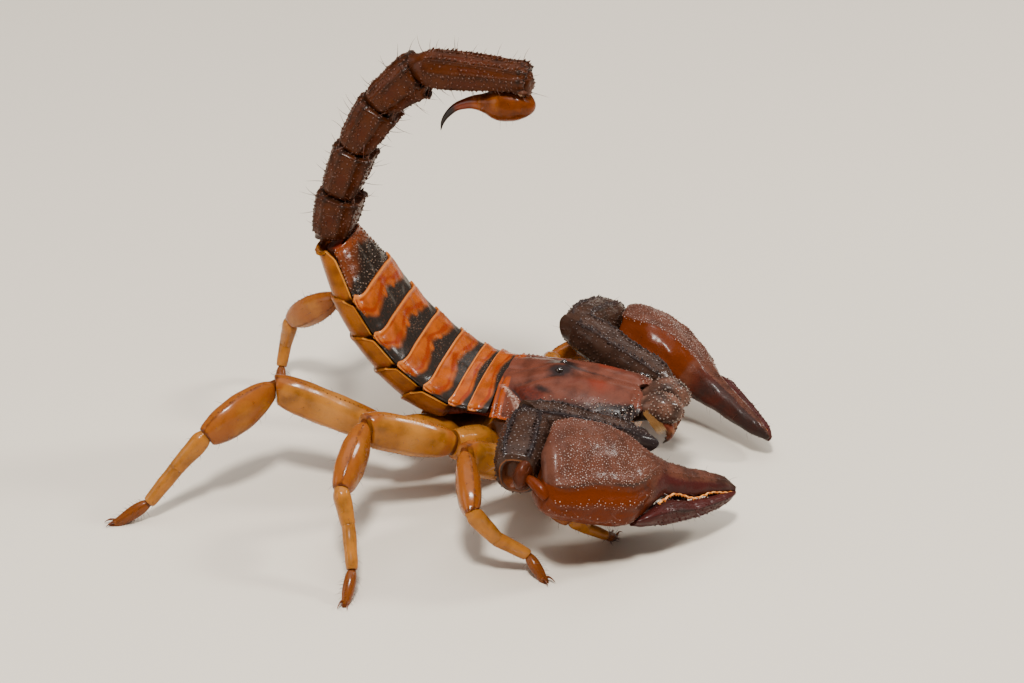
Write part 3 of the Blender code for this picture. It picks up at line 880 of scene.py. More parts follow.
class Kit:
    """The small shapes that are pressed on to the shell again and again."""

    def __init__(self) -> None:
        """Model each shape once."""
        self.grain = Stamp.grain()
        self.thorn = Stamp.cone(6, 3, 0.25)
        self.hair = Stamp.cone(3, 4, 0.30)

    def grains(self, body: Clay, spacing: float, share: Array, seed: int, size: float,
               height: float) -> None:
        """Cover a shape with low round grains and join them to it.

        Args:
            body: The shape to cover.
            spacing: Millimetres from grain to grain.
            share: How thickly each point is covered, 0 to 1.
            seed: Picks the places.
            size: Half a grain's width, as a share of the spacing.
            height: A grain's height, as a share of the spacing.
        """
        places, normals, roots = body.spots(spacing, share, seed)
        if not len(places):
            return
        draw = np.random.default_rng(seed + 1)
        widths = spacing * size * draw.uniform(0.75, 1.25, len(places))
        heights = spacing * height * draw.uniform(0.6, 1.3, len(places))
        marks = {name: body.read(name)[roots] for name in MARK_NAMES if name != "grain"}
        body.join([self.grain.press("grains", places - normals * (widths * 0.12)[:, None], normals,
                                    widths, heights, marks=marks)])

    def teeth(self, body: Clay, places: Array, widths: Array | float, heights: Array | float,
              lean: Array, tilt: float, **marks: float) -> None:
        """Stand pointed teeth on a shape near the given places and join them to it.

        Args:
            body: The shape that carries them.
            places: Points near its surface.
            widths: Half the width of the teeth.
            heights: The height of the teeth.
            lean: The way that the tips bend.
            tilt: How far each tooth leans that way from its root.
            marks: A value under each name.
        """
        roots, normals = body.nearest(places)
        heights = np.broadcast_to(heights, len(roots))
        ways = unit(normals + lean * tilt)
        body.join([self.thorn.press("teeth", roots - ways * (heights * 0.2)[:, None], ways, widths,
                                    heights * 1.2, lean, marks)])


# ---- head ----
@dataclass
class HeadShield:
    """The domed shield over the head, its eyes, and the jaws in front of it."""

    kit: Kit
    length: float = 13.4
    rear: float = 0.1
    notch: float = 1.0
    thickness: float = 0.35
    ridge: tuple = ((0.0, 11.05), (2.0, 11.35), (4.4, 11.75), (8.5, 11.65), (12.0, 11.15),
                    (14.0, 10.8))
    margin: tuple = ((0.0, 8.85), (6.0, 9.0), (14.0, 9.7))
    half_width: tuple = ((0.0, 5.5), (3.0, 5.6), (7.0, 5.1), (11.0, 4.3), (14.0, 3.75))
    side_eyes: tuple = ((12.45, 2.95, 0.32), (11.85, 3.45, 0.31), (11.25, 3.80, 0.26))

    def plan(self, share: Array, side: Array) -> tuple[Array, Array]:
        """Return where a share of the length and of the width lies, seen from above.

        Args:
            share: Share of the length.
            side: Share of the half width, left is +.

        Returns:
            The places forwards and to the left.
        """
        notch = self.notch * swell(side, 0, 0.28)
        corner = 1.1 * np.abs(side) ** 5
        reach = self.length - (notch + corner) * share ** 2
        bow = 0.2 * (1 - side ** 2)
        x = self.rear + bow + (reach - bow) * share
        return x, side * fit(self.half_width, x)[:, 0]

    def height(self, x: Array, side: Array) -> Array:
        """Return the height of the outer face, with its furrows, lobes and eye mound.

        Args:
            x: Places forwards.
            side: Share of the half width, left is +.

        Returns:
            One height for each place.
        """
        top, low = fit(self.ridge, x)[:, 0], fit(self.margin, x)[:, 0]
        edge = np.abs(side)
        y = edge * fit(self.half_width, x)[:, 0]
        z = low + (top - low) * (1 - edge ** 2.3) - 0.15 * ease(edge, 0.80, 1.0)
        z += 0.30 * swell(x, EYE_X, 1.5) * swell(y, 0, 0.75)
        front = ease(x, 6.0, 8.2)
        z -= 0.15 * front * swell(y, 0, 0.65) * (1 - 0.3 * ease(x, 11.5, 13))
        z += 0.16 * front * swell(y, 1.85, 1.1) * (1 - ease(x, 11.4, 13.4))
        behind = 1 - ease(x, 3.4, 4.8)
        z -= 0.10 * behind * swell(y, 0, 0.25)
        z -= 0.24 * swell(x, 1.5, 1.1) * swell(y, 0, 0.85)
        z += 0.06 * behind * swell(y, 1.5, 0.9)
        groove = 1.35 + 0.42 * np.maximum(EYE_X - x, 0)
        z -= (0.11 * swell(y, groove, 0.38) * (1 - ease(x, EYE_X - 1.5, EYE_X + 0.8))
              * ease(x, 0.6, 2.4))
        outer = swell(y, 2.9 + 0.12 * np.maximum(x - 3.0, 0), 0.45) * ease(x, 2.6, 4.2)
        z -= 0.10 * outer * (1 - ease(x, 8.5, 11.0))
        crest, fan = self.crest(edge), ease(edge, 0.42, 0.60)
        z += 0.20 * fan * swell(x, crest - 0.35, 0.55)
        z -= 0.16 * fan * swell(x, crest + 0.45, 0.34)
        z += 0.09 * ease(edge, 0.30, 0.50) * (swell(x, 0.28, 0.14) + swell(x, 0.80, 0.22))
        z += 0.07 * swell(edge, 0.985, 0.02)
        z -= 0.55 * ease(x, 12.0, 13.6) * (1 - 0.6 * swell(y, 0, 0.8))
        z += 0.10 * swell(x, 12.9, 0.22) * ease(y, 0.5, 1.0)
        return z

    @staticmethod
    def crest(edge: Array) -> Array:
        """Return how far forwards the crest of the lobe at each rear corner lies."""
        return 0.5 + 2.6 * ease(edge, 0.36, 0.95)

    def form(self, share: Array, side: Array) -> Array:
        """Return the outer face at shares of the length and width.

        Args:
            share: Share of the length.
            side: Share of the half width, left is +.

        Returns:
            Points of the outer face.
        """
        x, y = self.plan(share, side)
        flat = np.stack([x, y, x * 0], axis=1)
        wave = lumps(flat, 1.8, 3) * 0.030 + lumps(flat, 0.6, 4) * 0.007
        return np.stack([x, y, self.height(x, side) + wave], axis=1)

    def shield(self) -> None:
        """Build the shield with the grains along its sides and its front edge."""
        made = Clay.sheet("head_shield", 150, 150, self.form)
        x, y, _ = made.points().T
        edge, wide = np.abs(made.read("side")), np.abs(y)
        flank = ease(edge, 0.60, 0.80)
        eye_patch = swell(x, EYE_X, 1.45) * swell(wide, 0.62, 0.68)
        furrow = swell(y, 0.0, 0.30) * ease(x, EYE_X, EYE_X + 0.8) * (1 - ease(x, 9.0, 11.0))
        line = swell(wide, 1.25 + 0.42 * np.maximum(EYE_X - x, 0), 0.30) * ease(x, 1.2, 3.0)
        line = line * (1 - ease(x, EYE_X, EYE_X + 1.2))
        crest = self.crest(edge)
        slope = ease(x, crest, crest + 0.5) * (1 - ease(x, 3.8, 6.0)) * ease(edge, 0.40, 0.56)
        strip = (1 - ease(x, 1.0, 1.3)) * ease(edge, 0.20, 0.42) * (1 - 0.6 * swell(x, 0.52, 0.10))
        streak = swell(wide, 2.75 + 0.30 * np.maximum(x - 3.6, 0), 0.30) * ease(x, 3.2, 4.2)
        crescent = ease(edge, 0.44, 0.58) * swell(x, crest - 0.40, 0.50)
        rim = ease(x, 12.6, 13.2) * 0.35
        # The crescent behind each lobe takes the grain mark, so the grains' tip colour lays a pale
        # patch there: a painted highlight, partly the lobe's paler colour.
        made.tint(dark=eye_patch + flank * ease(x, 4.2, 5.8) * 0.75 + line * 0.4 + furrow * 0.55
                  + slope * 0.55 + streak * (1 - ease(x, 5.0, 6.5)) * 0.35
                  + swell(x, crest + 0.3, 0.2) * ease(edge, 0.5, 0.6) * 0.35
                  + ease(wide, 2.9, 3.5) * ease(x, 10.6, 11.6) * 0.8 + rim,
                  pale=slope * 0.12 + strip * 0.85 + swell(edge, 0.99, 0.02)
                  * (1 - ease(x, 2.0, 3.0)),
                  red=swell(x, 9.4, 2.2) * swell(wide, 1.9, 1.3) * 0.55 + slope * 0.60
                  + 0.2 * made.lumps(1.6, 5), grain=crescent * 0.85)
        made.modify("SOLIDIFY", thickness=self.thickness, offset=-1.0)
        x = made.points()[:, 0]
        edge = np.abs(made.read("side"))
        outer = (made.normals()[:, 2] > -0.1).astype(float)
        crescent = ease(edge, 0.46, 0.60) * swell(x, self.crest(edge) - 0.30, 0.40)
        sides = ease(edge, 0.62, 0.80) * ease(x, 4.2, 5.6)
        front = ease(x, 12.0, 12.9) * 0.9
        cover = (sides + front + crescent * 0.9).clip(0, 1) * outer
        self.kit.grains(made, 0.27, cover, 11, 0.38, 0.42)
        rear = swell(edge, 0.93, 0.06) * (1 - ease(x, 2.6, 3.6)) * outer
        self.kit.grains(made, 0.20, rear, 12, 0.42, 0.5)
        made.settle(Finishes.SHIELD, "carapace", crease=60)

    def eyes(self) -> None:
        """Build the two middle eyes with their rims and the three small eyes on each side."""
        for side in Side:
            low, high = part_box("eye_" + side.word)
            centre = (np.array((low + high) / 2) - np.array(Clay.shift)) / MM
            tilt = Matrix.Rotation(-side.value * math.radians(30), 4, "X")
            eye = Clay.ball(f"eye_{side.word}_lens", centre + vec(0, 0, -0.24), (0.33, 0.29, 0.28),
                            32, tilt)
            eye.settle(Finishes.EYE, "eye_" + side.word)
            self.rim(f"eye_{side.word}_rim", centre + vec(0, 0, -0.28), 0.35, 0.08, tilt)
            for number, (x, y, size) in enumerate(self.side_eyes, start=1):
                place = vec(x, side.value * y, self.side_eye_height(x, y))
                small = Clay.ball(f"side_eye_{side.word}_{number}", place, (size,) * 3, 20)
                small.settle(Finishes.EYE)

    def side_eye_height(self, x: float, y: float) -> float:
        """Return the shield's height at a small eye, a little sunk in."""
        edge = y / fit(self.half_width, x)[0, 0]
        return float(self.height(vec(x), vec(min(edge, 0.97)))[0]) + 0.02

    def rim(self, name: str, centre: Array, radius: float, girth: float, turn: Matrix) -> None:
        """Add the dark raised rim round a middle eye, in the shield's finish.

        Args:
            name: The piece's name.
            centre: Its middle.
            radius: Its radius.
            girth: Half its thickness.
            turn: How it is tilted.
        """
        Clay.deselect()
        bpy.ops.mesh.primitive_torus_add(major_radius=radius, minor_radius=girth,
                                         major_segments=40,
                                         minor_segments=14)
        made = bpy.context.active_object
        made.name = name
        made.data.transform(Matrix.Translation(Vector(centre)) @ turn
                            @ Matrix.Scale(0.86, 4, (0, 1, 0)))
        Clay(made).mark("dark", 1.0).settle(Finishes.SHIELD)

    def jaws(self) -> None:
        """Build both jaws: a grained knob, two toothed fingers and a brush of hair."""
        rows = ((0.0, 12.0, 1.20, 8.8, 0.85, 0.85), (0.18, 13.4, 1.28, 9.40, 1.12, 1.10),
                (0.42, 14.5, 1.34, 9.85, 1.24, 1.30), (0.70, 15.3, 1.34, 9.70, 1.24, 1.36),
                (0.90, 15.8, 1.32, 9.20, 1.06, 1.20), (1.0, 16.0, 1.30, 8.75, 0.70, 0.85))
        for side in Side:
            table = fit(rows, np.linspace(0, 1, 22))
            centres = table[:, :3] * vec(1, side.value, 1)
            knob = Limb.through(f"jaw_{side.word}_knob", centres, table[:, 3], table[:, 4], 40,
                                2.2)
            z = knob.points()[:, 2]
            knob.mark("red", ease(z, 9.0, 8.0) * 0.9)
            knob.mark("dark", 0.45 + 0.4 * knob.lumps(1.0, 5))
            knob.swell_by(0.05 * knob.lumps(0.7, 6))
            cover = ease(knob.read("along"), 0.30, 0.42) * ease(z, 7.6, 8.4)
            self.kit.grains(knob, 0.26, cover, 21 + side.value, 0.42, 0.5)
            knob.join([self.jaw_finger(side, 0.80, 0.95), self.jaw_finger(side, 1.75, 0.90)])
            knob.settle(Finishes.JAW, "jaw_" + side.word)
            self.brush(side)

    def jaw_finger(self, side: Side, y: float, scale: float) -> Clay:
        """Build one hooked finger of a jaw with a row of teeth.

        Args:
            side: Which jaw it is on.
            y: How far it stands from the middle.
            scale: Its girth.

        Returns:
            The finger.
        """
        path = np.array([(14.9, y, 8.9), (15.65, y * 0.98, 8.2), (15.80, y * 0.94, 7.45),
                         (15.55, y * 0.90, 6.8), (15.10, y * 0.86, 6.3)]) * vec(1, side.value, 1)
        girth = np.array([0.66, 0.58, 0.44, 0.26, 0.06]) * scale
        share = np.linspace(0, 1, 16)
        steps = np.linspace(0, 1, len(path))
        centres = fit(np.column_stack([steps, path]), share)
        sizes = fit(np.column_stack([steps, girth]), share)[:, 0]
        finger = Limb.through("jaw_finger", centres, sizes, sizes * 0.85, 20, 2.0)
        along = finger.read("along")
        finger.mark("dark", 0.25 + ease(along, 0.55, 0.95)).mark("red", 0.7)
        finger.mark("pale", 0.50 * swell(along, 0.38, 0.20))
        self.kit.teeth(finger, centres[4:12:2] + vec(-0.3, 0, 0), 0.09, 0.18, vec(-0.4, 0, -0.9),
                       0.3)
        return finger

    def brush(self, side: Side) -> None:
        """Grow the tan brush under each jaw's fingers.

        Args:
            side: Which jaw it is on.
        """
        draw = np.random.default_rng(31 + side.value)
        count = 420
        share, across = draw.random(count) ** 1.3, draw.random(count)
        start, way, wide = vec(13.70, 2.62, 9.95), vec(1.50, 0.02, -1.95), vec(0.62, -0.45, 0.26)
        roots = start + way * 0.62 * share[:, None] + wide * (across[:, None] - 0.4)
        roots = (roots + draw.normal(0, 0.03, (count, 3))) * vec(1, side.value, 1)
        ways = way * vec(1, side.value, 1) + draw.normal(0, 0.14, (count, 3))
        made = self.kit.hair.press("jaw_brush_" + side.word, roots, ways, 0.034,
                                   draw.uniform(0.8, 1.45, count), vec(0, -side.value * 0.6, -0.4))
        root_map(made, len(self.kit.hair.points), np.stack([share, draw.random(count)], axis=1))
        made.mark("along", made.read("grain")).mark("grain", 0.0)
        made.settle(Finishes.BRUSH)

    def build(self) -> None:
        """Build the head."""
        self.shield()
        self.eyes()
        self.jaws()


def root_map(hairs: Clay, step: int, places: Array) -> None:
    """Lay each hair of a joined mesh as a small patch at its root's place on the skin's unwrap.

    Args:
        hairs: The joined hairs.
        step: Points in each hair.
        places: Each root's place on the unwrap, 0 to 1 both ways.
    """
    patch = 0.003
    data = hairs.made.data
    layer = data.uv_layers.new(name="OFBake")
    corners = np.empty(len(data.loops), np.int32)
    data.loops.foreach_get("vertex_index", corners)
    hair, point = corners // step, corners % step
    turn = 2 * math.pi * (point % 3) / 3
    reach = 0.5 * patch * (1 - 0.8 * point / step)
    flat = np.stack([np.cos(turn) * reach, np.sin(turn) * reach], axis=1)
    spots = places.clip(0, 1)[hair] * (1 - 2 * patch) + patch
    layer.data.foreach_set("uv", (spots + flat).astype(np.float32).ravel())


# ---- jointed limbs ----
@dataclass(frozen=True)
class Keel:
    """A raised line along a limb: its place round the section and its size."""

    angle: float                  # degrees: 0 is the outer side, 90 the top
    height: float                 # millimetres
    width: float = 7.0            # degrees

    @classmethod
    def pairs(cls, *sizes: tuple) -> tuple["Keel", ...]:
        """Return keels in pairs, the second of each on the section's other side."""
        return tuple(cls(angle, *rest) for first, *rest in sizes for angle in (first, 180 - first))


def on_keels(keels: tuple[Keel, ...], turn: Array) -> Array:
    """Return 1 on a keel and 0 between the keels.

    Args:
        keels: The raised lines.
        turn: Each point's place round the section, in degrees.

    Returns:
        One value for each point.
    """
    total = np.zeros(len(turn))
    for keel in keels:
        total += np.exp(-(((turn - keel.angle + 180) % 360 - 180) / 8.0) ** 2)
    return total.clip(0, 1)

class Limb:
    """Ways to loft a limb's pieces."""

    @staticmethod
    def frame(ways: Array, upward: Array) -> tuple[Array, Array]:
        """Return the sideways and the rising direction of each section."""
        across = unit(np.cross(np.broadcast_to(upward, ways.shape), ways))
        return across, unit(np.cross(ways, across))

    @staticmethod
    def oval(turn: Array, side: Array, up: Array, down: Array, power: float,
             keels: tuple[Keel, ...] = (), keel_share: Array | float = 1.0) -> tuple[Array, Array]:
        """Return a rounded section's sideways and rising reach, with its keels.

        Args:
            turn: Angles round the section.
            side: Half width of each ring, as a column.
            up: Height above of each ring, as a column.
            down: Height below of each ring, as a column.
            power: 2 for an ellipse, more for a boxier section.
            keels: The raised lines.
            keel_share: How strong the keels are at each ring, as a column.

        Returns:
            The reach sideways and the rise, each as (ring, step).
        """
        c, s = np.cos(turn), np.sin(turn)
        reach = side * np.sign(c) * np.abs(c) ** (2 / power)
        rise = np.where(s > 0, up, down) * np.sign(s) * np.abs(s) ** (2 / power)
        for keel in keels:
            apart = (np.degrees(turn) - keel.angle + 180) % 360 - 180
            lift = keel.height * np.exp(-(apart / keel.width) ** 2) * keel_share
            reach, rise = reach + lift * c, rise + lift * s
        return reach, rise

    @staticmethod
    def through(name: str, centres: Array, side: Array, height: Array, steps: int, power: float,
                upward: Array | None = None) -> Clay:
        """Loft a tube through a row of centres.

        Args:
            name: The object's name.
            centres: The sections' middles.
            side: Half width of each section.
            height: Half height of each section.
            steps: Points in each section.
            power: 2 for an ellipse, more for a boxier section.
            upward: The direction that counts as upwards.

        Returns:
            The closed tube.
        """
        ways = unit(np.gradient(centres, axis=0))
        across, rise = Limb.frame(ways, vec(0, 0.02, 1) if upward is None else upward)
        turn = np.linspace(0, 2 * math.pi, steps, endpoint=False)[None]
        reach, lift = Limb.oval(turn, side[:, None], height[:, None], height[:, None], power)
        rings = (centres[:, None] + across[:, None] * reach[..., None] + rise[:, None]
                 * lift[..., None])
        return Clay.tube(name, rings)


@dataclass
class Segment:
    """One piece of a jointed limb, from joint to joint, with cut ends that meet its neighbours."""

    start: Array
    end: Array
    girths: tuple                 # rows of (share, half side, height above, depth below)
    start_plane: Array
    end_plane: Array
    power: float = 2.3
    keels: tuple[Keel, ...] = ()
    steps: int = 32
    stations: tuple = (0.0, 0.015, 0.04, 0.08, 0.13, 0.20, 0.29, 0.39, 0.50, 0.61, 0.71, 0.80,
                       0.87,
                       0.92, 0.96, 0.985, 1.0)
    upward: Array | None = None
    neck: float = 0.80            # girth of the narrow root
    flare: float = 0.05           # how far the far rim stands out
    limit: tuple[Array, Array] | None = None      # nothing stands in front of this plane
    cup: tuple = ((0.55, 0.10),)  # how the far end closes: rows of (share of the rim, depth)

    def guide(self, way: Array) -> Array:
        """Return the direction that counts as upwards.

        Args:
            way: The way that the segment runs.

        Returns:
            One direction.
        """
        if self.upward is not None:
            return self.upward
        upward = vec(0, 0, 1) - way * way[2]
        return upward if np.linalg.norm(upward) >= 0.2 else vec(1, 0, 0) - way * way[0]

    def rings(self) -> tuple[Array, Array]:
        """Return the rings of points, with a closing ring at each end, and their shares."""
        way = unit(self.end - self.start)
        across, rise = Limb.frame(way[None], self.guide(way))
        share = np.array(self.stations)
        side, high, deep = fit(self.girths, share).T
        shape = 1 - (1 - self.neck) * (1 - ease(share, 0.0, 0.09))
        shape = shape * (1 + self.flare * swell(share, 0.955, 0.04))
        shape = shape * (1 - 0.10 * ease(share, 0.975, 1.0))
        keel_share = (ease(share, 0.03, 0.15) * (1 - 0.6 * ease(share, 0.93, 1.0)))[:, None]
        turn = np.linspace(0, 2 * math.pi, self.steps, endpoint=False)[None]
        side, high, deep = ((size * shape)[:, None] for size in (side, high, deep))
        reach, lift = Limb.oval(turn, side, high, deep, self.power, self.keels, keel_share)
        centre = self.start + (self.end - self.start) * share[:, None]
        rings = centre[:, None] + across * reach[..., None] + rise * lift[..., None]
        for origin, plane, sign, row in ((self.start, self.start_plane, 1, 0),
                                         (self.end, self.end_plane, -1, -1)):
            gap = (origin - rings) @ plane * sign / (way @ plane)
            short = np.maximum(0, gap)
            last = gap[row] - short[row]
            rings = rings + way * (sign * short)[..., None]
            rings[row] += way * (sign * last)[:, None]
        if self.limit is not None:
            origin, normal = self.limit
            rings = rings - normal * np.maximum(0, (rings - origin) @ normal)[..., None]
        middle = rings[-1].mean(axis=0)
        caps = [self.start + (rings[0] - self.start) * size - way * depth
                for size, depth in ((0.30, 0.36), (0.74, 0.24))]
        cup = [middle + (rings[-1] - middle) * size - way * depth for size, depth in self.cup]
        shares = [np.zeros(2), share, 1.0 + 0.01 * np.arange(1, len(cup) + 1)]
        return np.concatenate([caps, rings, cup]), np.concatenate(shares)

    def at(self, share: float, angle: float) -> Array:
        """Return a place on the surface at a share of the length and an angle round it.

        Args:
            share: Share of the length.
            angle: Degrees round the section.

        Returns:
            The place.
        """
        way = unit(self.end - self.start)
        across, rise = Limb.frame(way[None], self.guide(way))
        side, high, deep = fit(self.girths, share)[0]
        c, s = math.cos(math.radians(angle)), math.sin(math.radians(angle))
        return (self.start + (self.end - self.start) * share + across[0] * side * c
                + rise[0] * (deep if s < 0 else high) * s)

    def build(self, name: str, rounds: int = 0) -> Clay:
        """Loft the piece, and round it that many times.

        Args:
            name: The object's name.
            rounds: How often it is subdivided.

        Returns:
            The closed piece.
        """
        rings, share = self.rings()
        made = Clay.tube(name, rings, {"along": np.repeat(share[:, None], self.steps, axis=1)})
        return made.modify("SUBSURF", levels=rounds, render_levels=rounds) if rounds else made


def bend_plane(before: Array, at: Array, after: Array) -> Array:
    """Return the normal of the plane that halves the bend at a joint."""
    return unit(unit(at - before) + unit(after - at))


# ---- hairs ----
class Coat:
    """Gathers the stiff hairs that grow on the shell, group by group."""

    cells = 8                     # the skin's unwrap is 8 by 8 cells, one for each piece

    def __init__(self, kit: Kit) -> None:
        """Start with no hairs.

        Args:
            kit: The small shapes, with the hair.
        """
        self.kit = kit
        self.groups: dict[str, list[Clay]] = {}
        self.used = 0

    def grow(self, group: str, body: Clay, spacing: float, share: Array, length: float,
             width: float, towards: Array, seed: int) -> None:
        """Grow hairs on a shape.

        Args:
            group: The group that they belong to.
            body: The shape that they grow on.
            spacing: Millimetres from hair to hair.
            share: How thickly each point is covered, 0 to 1.
            length: The longest hair, in millimetres.
            width: Half a hair's width at its root.
            towards: The way that the tips lean.
            seed: Picks the places.
        """
        places, normals, roots = body.spots(spacing, share, seed)
        count = len(places)
        cell, self.used = self.used % self.cells ** 2, self.used + 1
        if not count:
            return
        draw = np.random.default_rng(seed + 5)
        ways = unit(normals + 0.35 * towards + draw.normal(0, 0.22, (count, 3)))
        lengths = length * draw.uniform(0.35, 1.0, count)
        made = self.kit.hair.press("hairs", places - ways * 0.03, ways, width, lengths,
                                   towards + draw.normal(0, 0.4, (count, 3)))
        turn = np.arctan2(body.read("rise")[roots], body.read("side")[roots]) / (2 * math.pi) % 1.0
        flat = np.stack([turn, body.read("along")[roots].clip(0, 1)], axis=1)
        corner = vec(cell % self.cells, cell // self.cells)
        root_map(made, len(self.kit.hair.points), (corner + flat * 0.96 + 0.02) / self.cells)
        made.mark("along", made.read("grain")).mark("grain", 0.0)
        self.groups.setdefault(group, []).append(made)

    def settle(self) -> None:
        """Join each group of hairs into one piece."""
        for name, parts in self.groups.items():
            first, *others = parts
            first.join(others)
            first.made.name = name
            first.settle(Finishes.LONG_HAIR)


# ---- trunk ----
@dataclass
class Trunk:
    """The soft trunk with its seven back plates and five belly plates."""

    kit: Kit
    plate: float = 0.55
    back_margin: float = 7.0
    belly_rise: float = 2.0
    # place along, side margin's x and z, slope in degrees, half width, dome above, depth below
    girths: tuple = ((0.0, -0.1, 8.80, 8, 5.45, 1.80, 1.30),
                     (1.0, -1.9, 9.00, 12, 5.60, 1.55, 1.50),
                     (2.0, -3.7, 9.50, 24, 5.75, 1.35, 3.05),
                     (3.0, -6.0, 10.75, 34, 5.80, 1.20, 3.70),
                     (4.0, -8.4, 12.65, 43, 5.70, 1.15, 3.60),
                     (5.0, -10.7, 15.15, 52, 5.35, 1.15, 3.40),
                     (6.0, -12.8, 18.20, 59, 4.65, 1.15, 3.05),
                     (7.0, -15.25, 21.95, 66, 2.60, 1.15, 2.10))

    def surface(self, place: Array, degrees: Array, lift: Array | float) -> Array:
        """Return points of the trunk's section, `lift` mm above its shell.

        Args:
            place: Places along the trunk, in plates.
            degrees: Angles round its section.
            lift: Millimetres above its shell.

        Returns:
            One point for each place.
        """
        x, z, slope, half, dome, depth = fit(self.girths, place).T
        slope, angle = np.radians(slope), np.radians(degrees)
        c, s = np.cos(angle), np.sin(angle)
        height = np.where(s > 0, dome, depth) + lift
        reach = (half + lift) * np.sign(c) * np.abs(c) ** 0.84
        rise = height * np.sign(s) * np.abs(s) ** 0.84
        return np.stack([x + np.sin(slope) * rise, reach, z + np.cos(slope) * rise], axis=1)

    def back_plate(self, number: int) -> None:
        """Build one back plate: dark grained front, rust rear with a raised rim.

        Args:
            number: The plate, 1 at the head to 7 at the tail.
        """
        front = number - 1.0
        sunk = -0.26 if number > 1 else 0.0
        bow = (0.35, 0.6, 0.8, 1.0, 1.0, 1.0, 0.3)[number - 1]

        def place_at(share: Array, side: Array) -> Array:
            """Return how far back a point lies, in plates.

            Args:
                share: Share of the length.
                side: Share of the half width.

            Returns:
                One value for each point.
            """
            edge = np.abs(side)
            rear = 1.04 + bow * (0.07 * ease(edge, 0.70, 0.92) - 0.05 * swell(edge, 0.55, 0.22))
            rear = rear - 0.16 * edge ** 18
            return sunk + 0.10 * edge ** 12 + (rear - sunk - 0.10 * edge ** 12) * share

        def form(share: Array, side: Array) -> Array:
            """Return the plate's outer face.

            Args:
                share: Share of the length.
                side: Share of the half width.

            Returns:
                One point for each pair.
            """
            share = 1 - (1 - share) ** 1.35
            edge, run = np.abs(side), place_at(share, side)
            lift = 0.09 * (run - 0.30) - 0.30 * (1 - ease(run, -0.24, 0.05))
            lift += 0.03 * swell(share, 0.965, 0.03) + 0.03 * ease(share, 0.55, 0.80)
            lift -= 0.02 * swell(share, 0.90, 0.035)
            lift += 0.05 * swell(edge, 0.975, 0.018) * ease(share, 0.2, 0.4)
            lift += 0.10 * swell(edge, 0.80, 0.16) * ease(share, 0.45, 0.85)
            lift -= 0.04 * swell(edge, 0.925, 0.022) * ease(share, 0.2, 0.4)
            lift -= 0.07 * swell(side, 0.0, 0.05) * (1 - ease(share, 0.75, 0.9))
            lift += 0.05 * swell(edge, 0.42, 0.12) * swell(share, 0.45, 0.25)
            degrees = 90 - side * (90 - self.back_margin)
            flat = self.surface(front + run, degrees, 0.0)
            uneven = 0.035 * lumps(flat, 1.3, 40 + number) + 0.015 * lumps(flat, 0.5, 50)
            lift += uneven * (1 - 0.7 * ease(share, 0.85, 0.95))
            return self.surface(front + run, degrees, lift)

        made = Clay.sheet(f"back_plate_{number}_shell", 64, 130, form)
        share, side = made.read("along"), made.read("side")
        share, edge = 1 - (1 - share) ** 1.35, np.abs(side)
        run = place_at(share, side)
        points = made.points()
        wave = lumps(points, 2.2, 60 + number) * 0.028 + lumps(points, 0.7, 61) * 0.007
        rim = swell(share, 0.972, 0.03)
        if number == 7:
            band = 1 - ease(run + wave * 2, 0.74, 0.92)
            blush = ease(lumps(points, 2.6, 67) * 0.35 + (edge - 0.35) + (run - 0.45) * 1.5, -0.1,
                         0.6)
            made.tint(dark=band * (1 - blush), red=ease(run, 0.80, 0.95) + blush * 0.4, pale=rim
                      * 0.2)
            cover = ((1 - 0.7 * ease(share, 0.85, 0.95)) * ease(run, -0.02, 0.05)
                     * (0.35 + 0.65 * blush))
        else:
            reach = (0.26, 0.34, 0.38, 0.42, 0.44, 0.48)[number - 1]
            middle = 0.24 * swell(edge, 0.0, 0.20) + 0.04 * swell(edge, 0.42, 0.06)
            border = reach + middle + 0.12 * ease(edge, 0.58, 0.80) + 0.30 * ease(edge, 0.84, 0.98)
            border = border - 0.07 * swell(edge, 0.48, 0.12) - 0.06 + wave
            streak = 0.5 * swell(edge, 0.10, 0.035) * ease(run, 0.35, 0.5) * (number > 3)
            made.tint(dark=1 - ease(run, border - 0.24, border + 0.24) - streak,
                      pale=rim * 0.9 + swell(edge, 0.975, 0.03) * ease(share, 0.3, 0.6) * 0.8
                      + swell(edge, 0.84, 0.10) * ease(run, 0.55, 0.85) * 0.55,
                      red=swell(run, border + 0.14, 0.10) * 0.8 + swell(share, 0.91, 0.03) * 0.4
                      + 0.25 * lumps(points, 1.1, 68))
            front_row = ease(run, 0.1, 0.2) * (1 - ease(run, border, border + 0.1))
            cover = swell(edge, 0.10, 0.10) * front_row * 0.5
            cover = cover + 0.7 * swell(edge, 0.86, 0.07) * ease(run, 0.5, 0.7)
        made.tint(rise=cover)
        made.modify("SOLIDIFY", thickness=0.30, offset=-1.0)
        last = number == 7
        size, height = (0.27, 0.45) if last else (0.20, 0.24)
        self.kit.grains(made, size, made.read("rise") * self.facing_out(made), 80 + number, 0.40,
                        height)
        made.settle(Finishes.LAST_BACK if last else Finishes.BACK, f"back_plate_{number}",
                    crease=60)

    def facing_out(self, made: Clay) -> Array:
        """Return 1 where a shape's face looks away from the trunk's middle, else 0.

        Args:
            made: The shape.

        Returns:
            One value for each point.
        """
        x, z = fit(self.girths, np.linspace(0, 7, 60))[:, :2].T
        points = made.points()
        near = np.argmin((points[:, 0:1] - x[None]) ** 2 + (points[:, 2:3] - z[None]) ** 2, axis=1)
        outward = points - np.stack([x[near], points[:, 1] * 0.0, z[near] - 1.0], axis=1)
        return ((made.normals() * outward).sum(axis=1) > 0.15).astype(float)

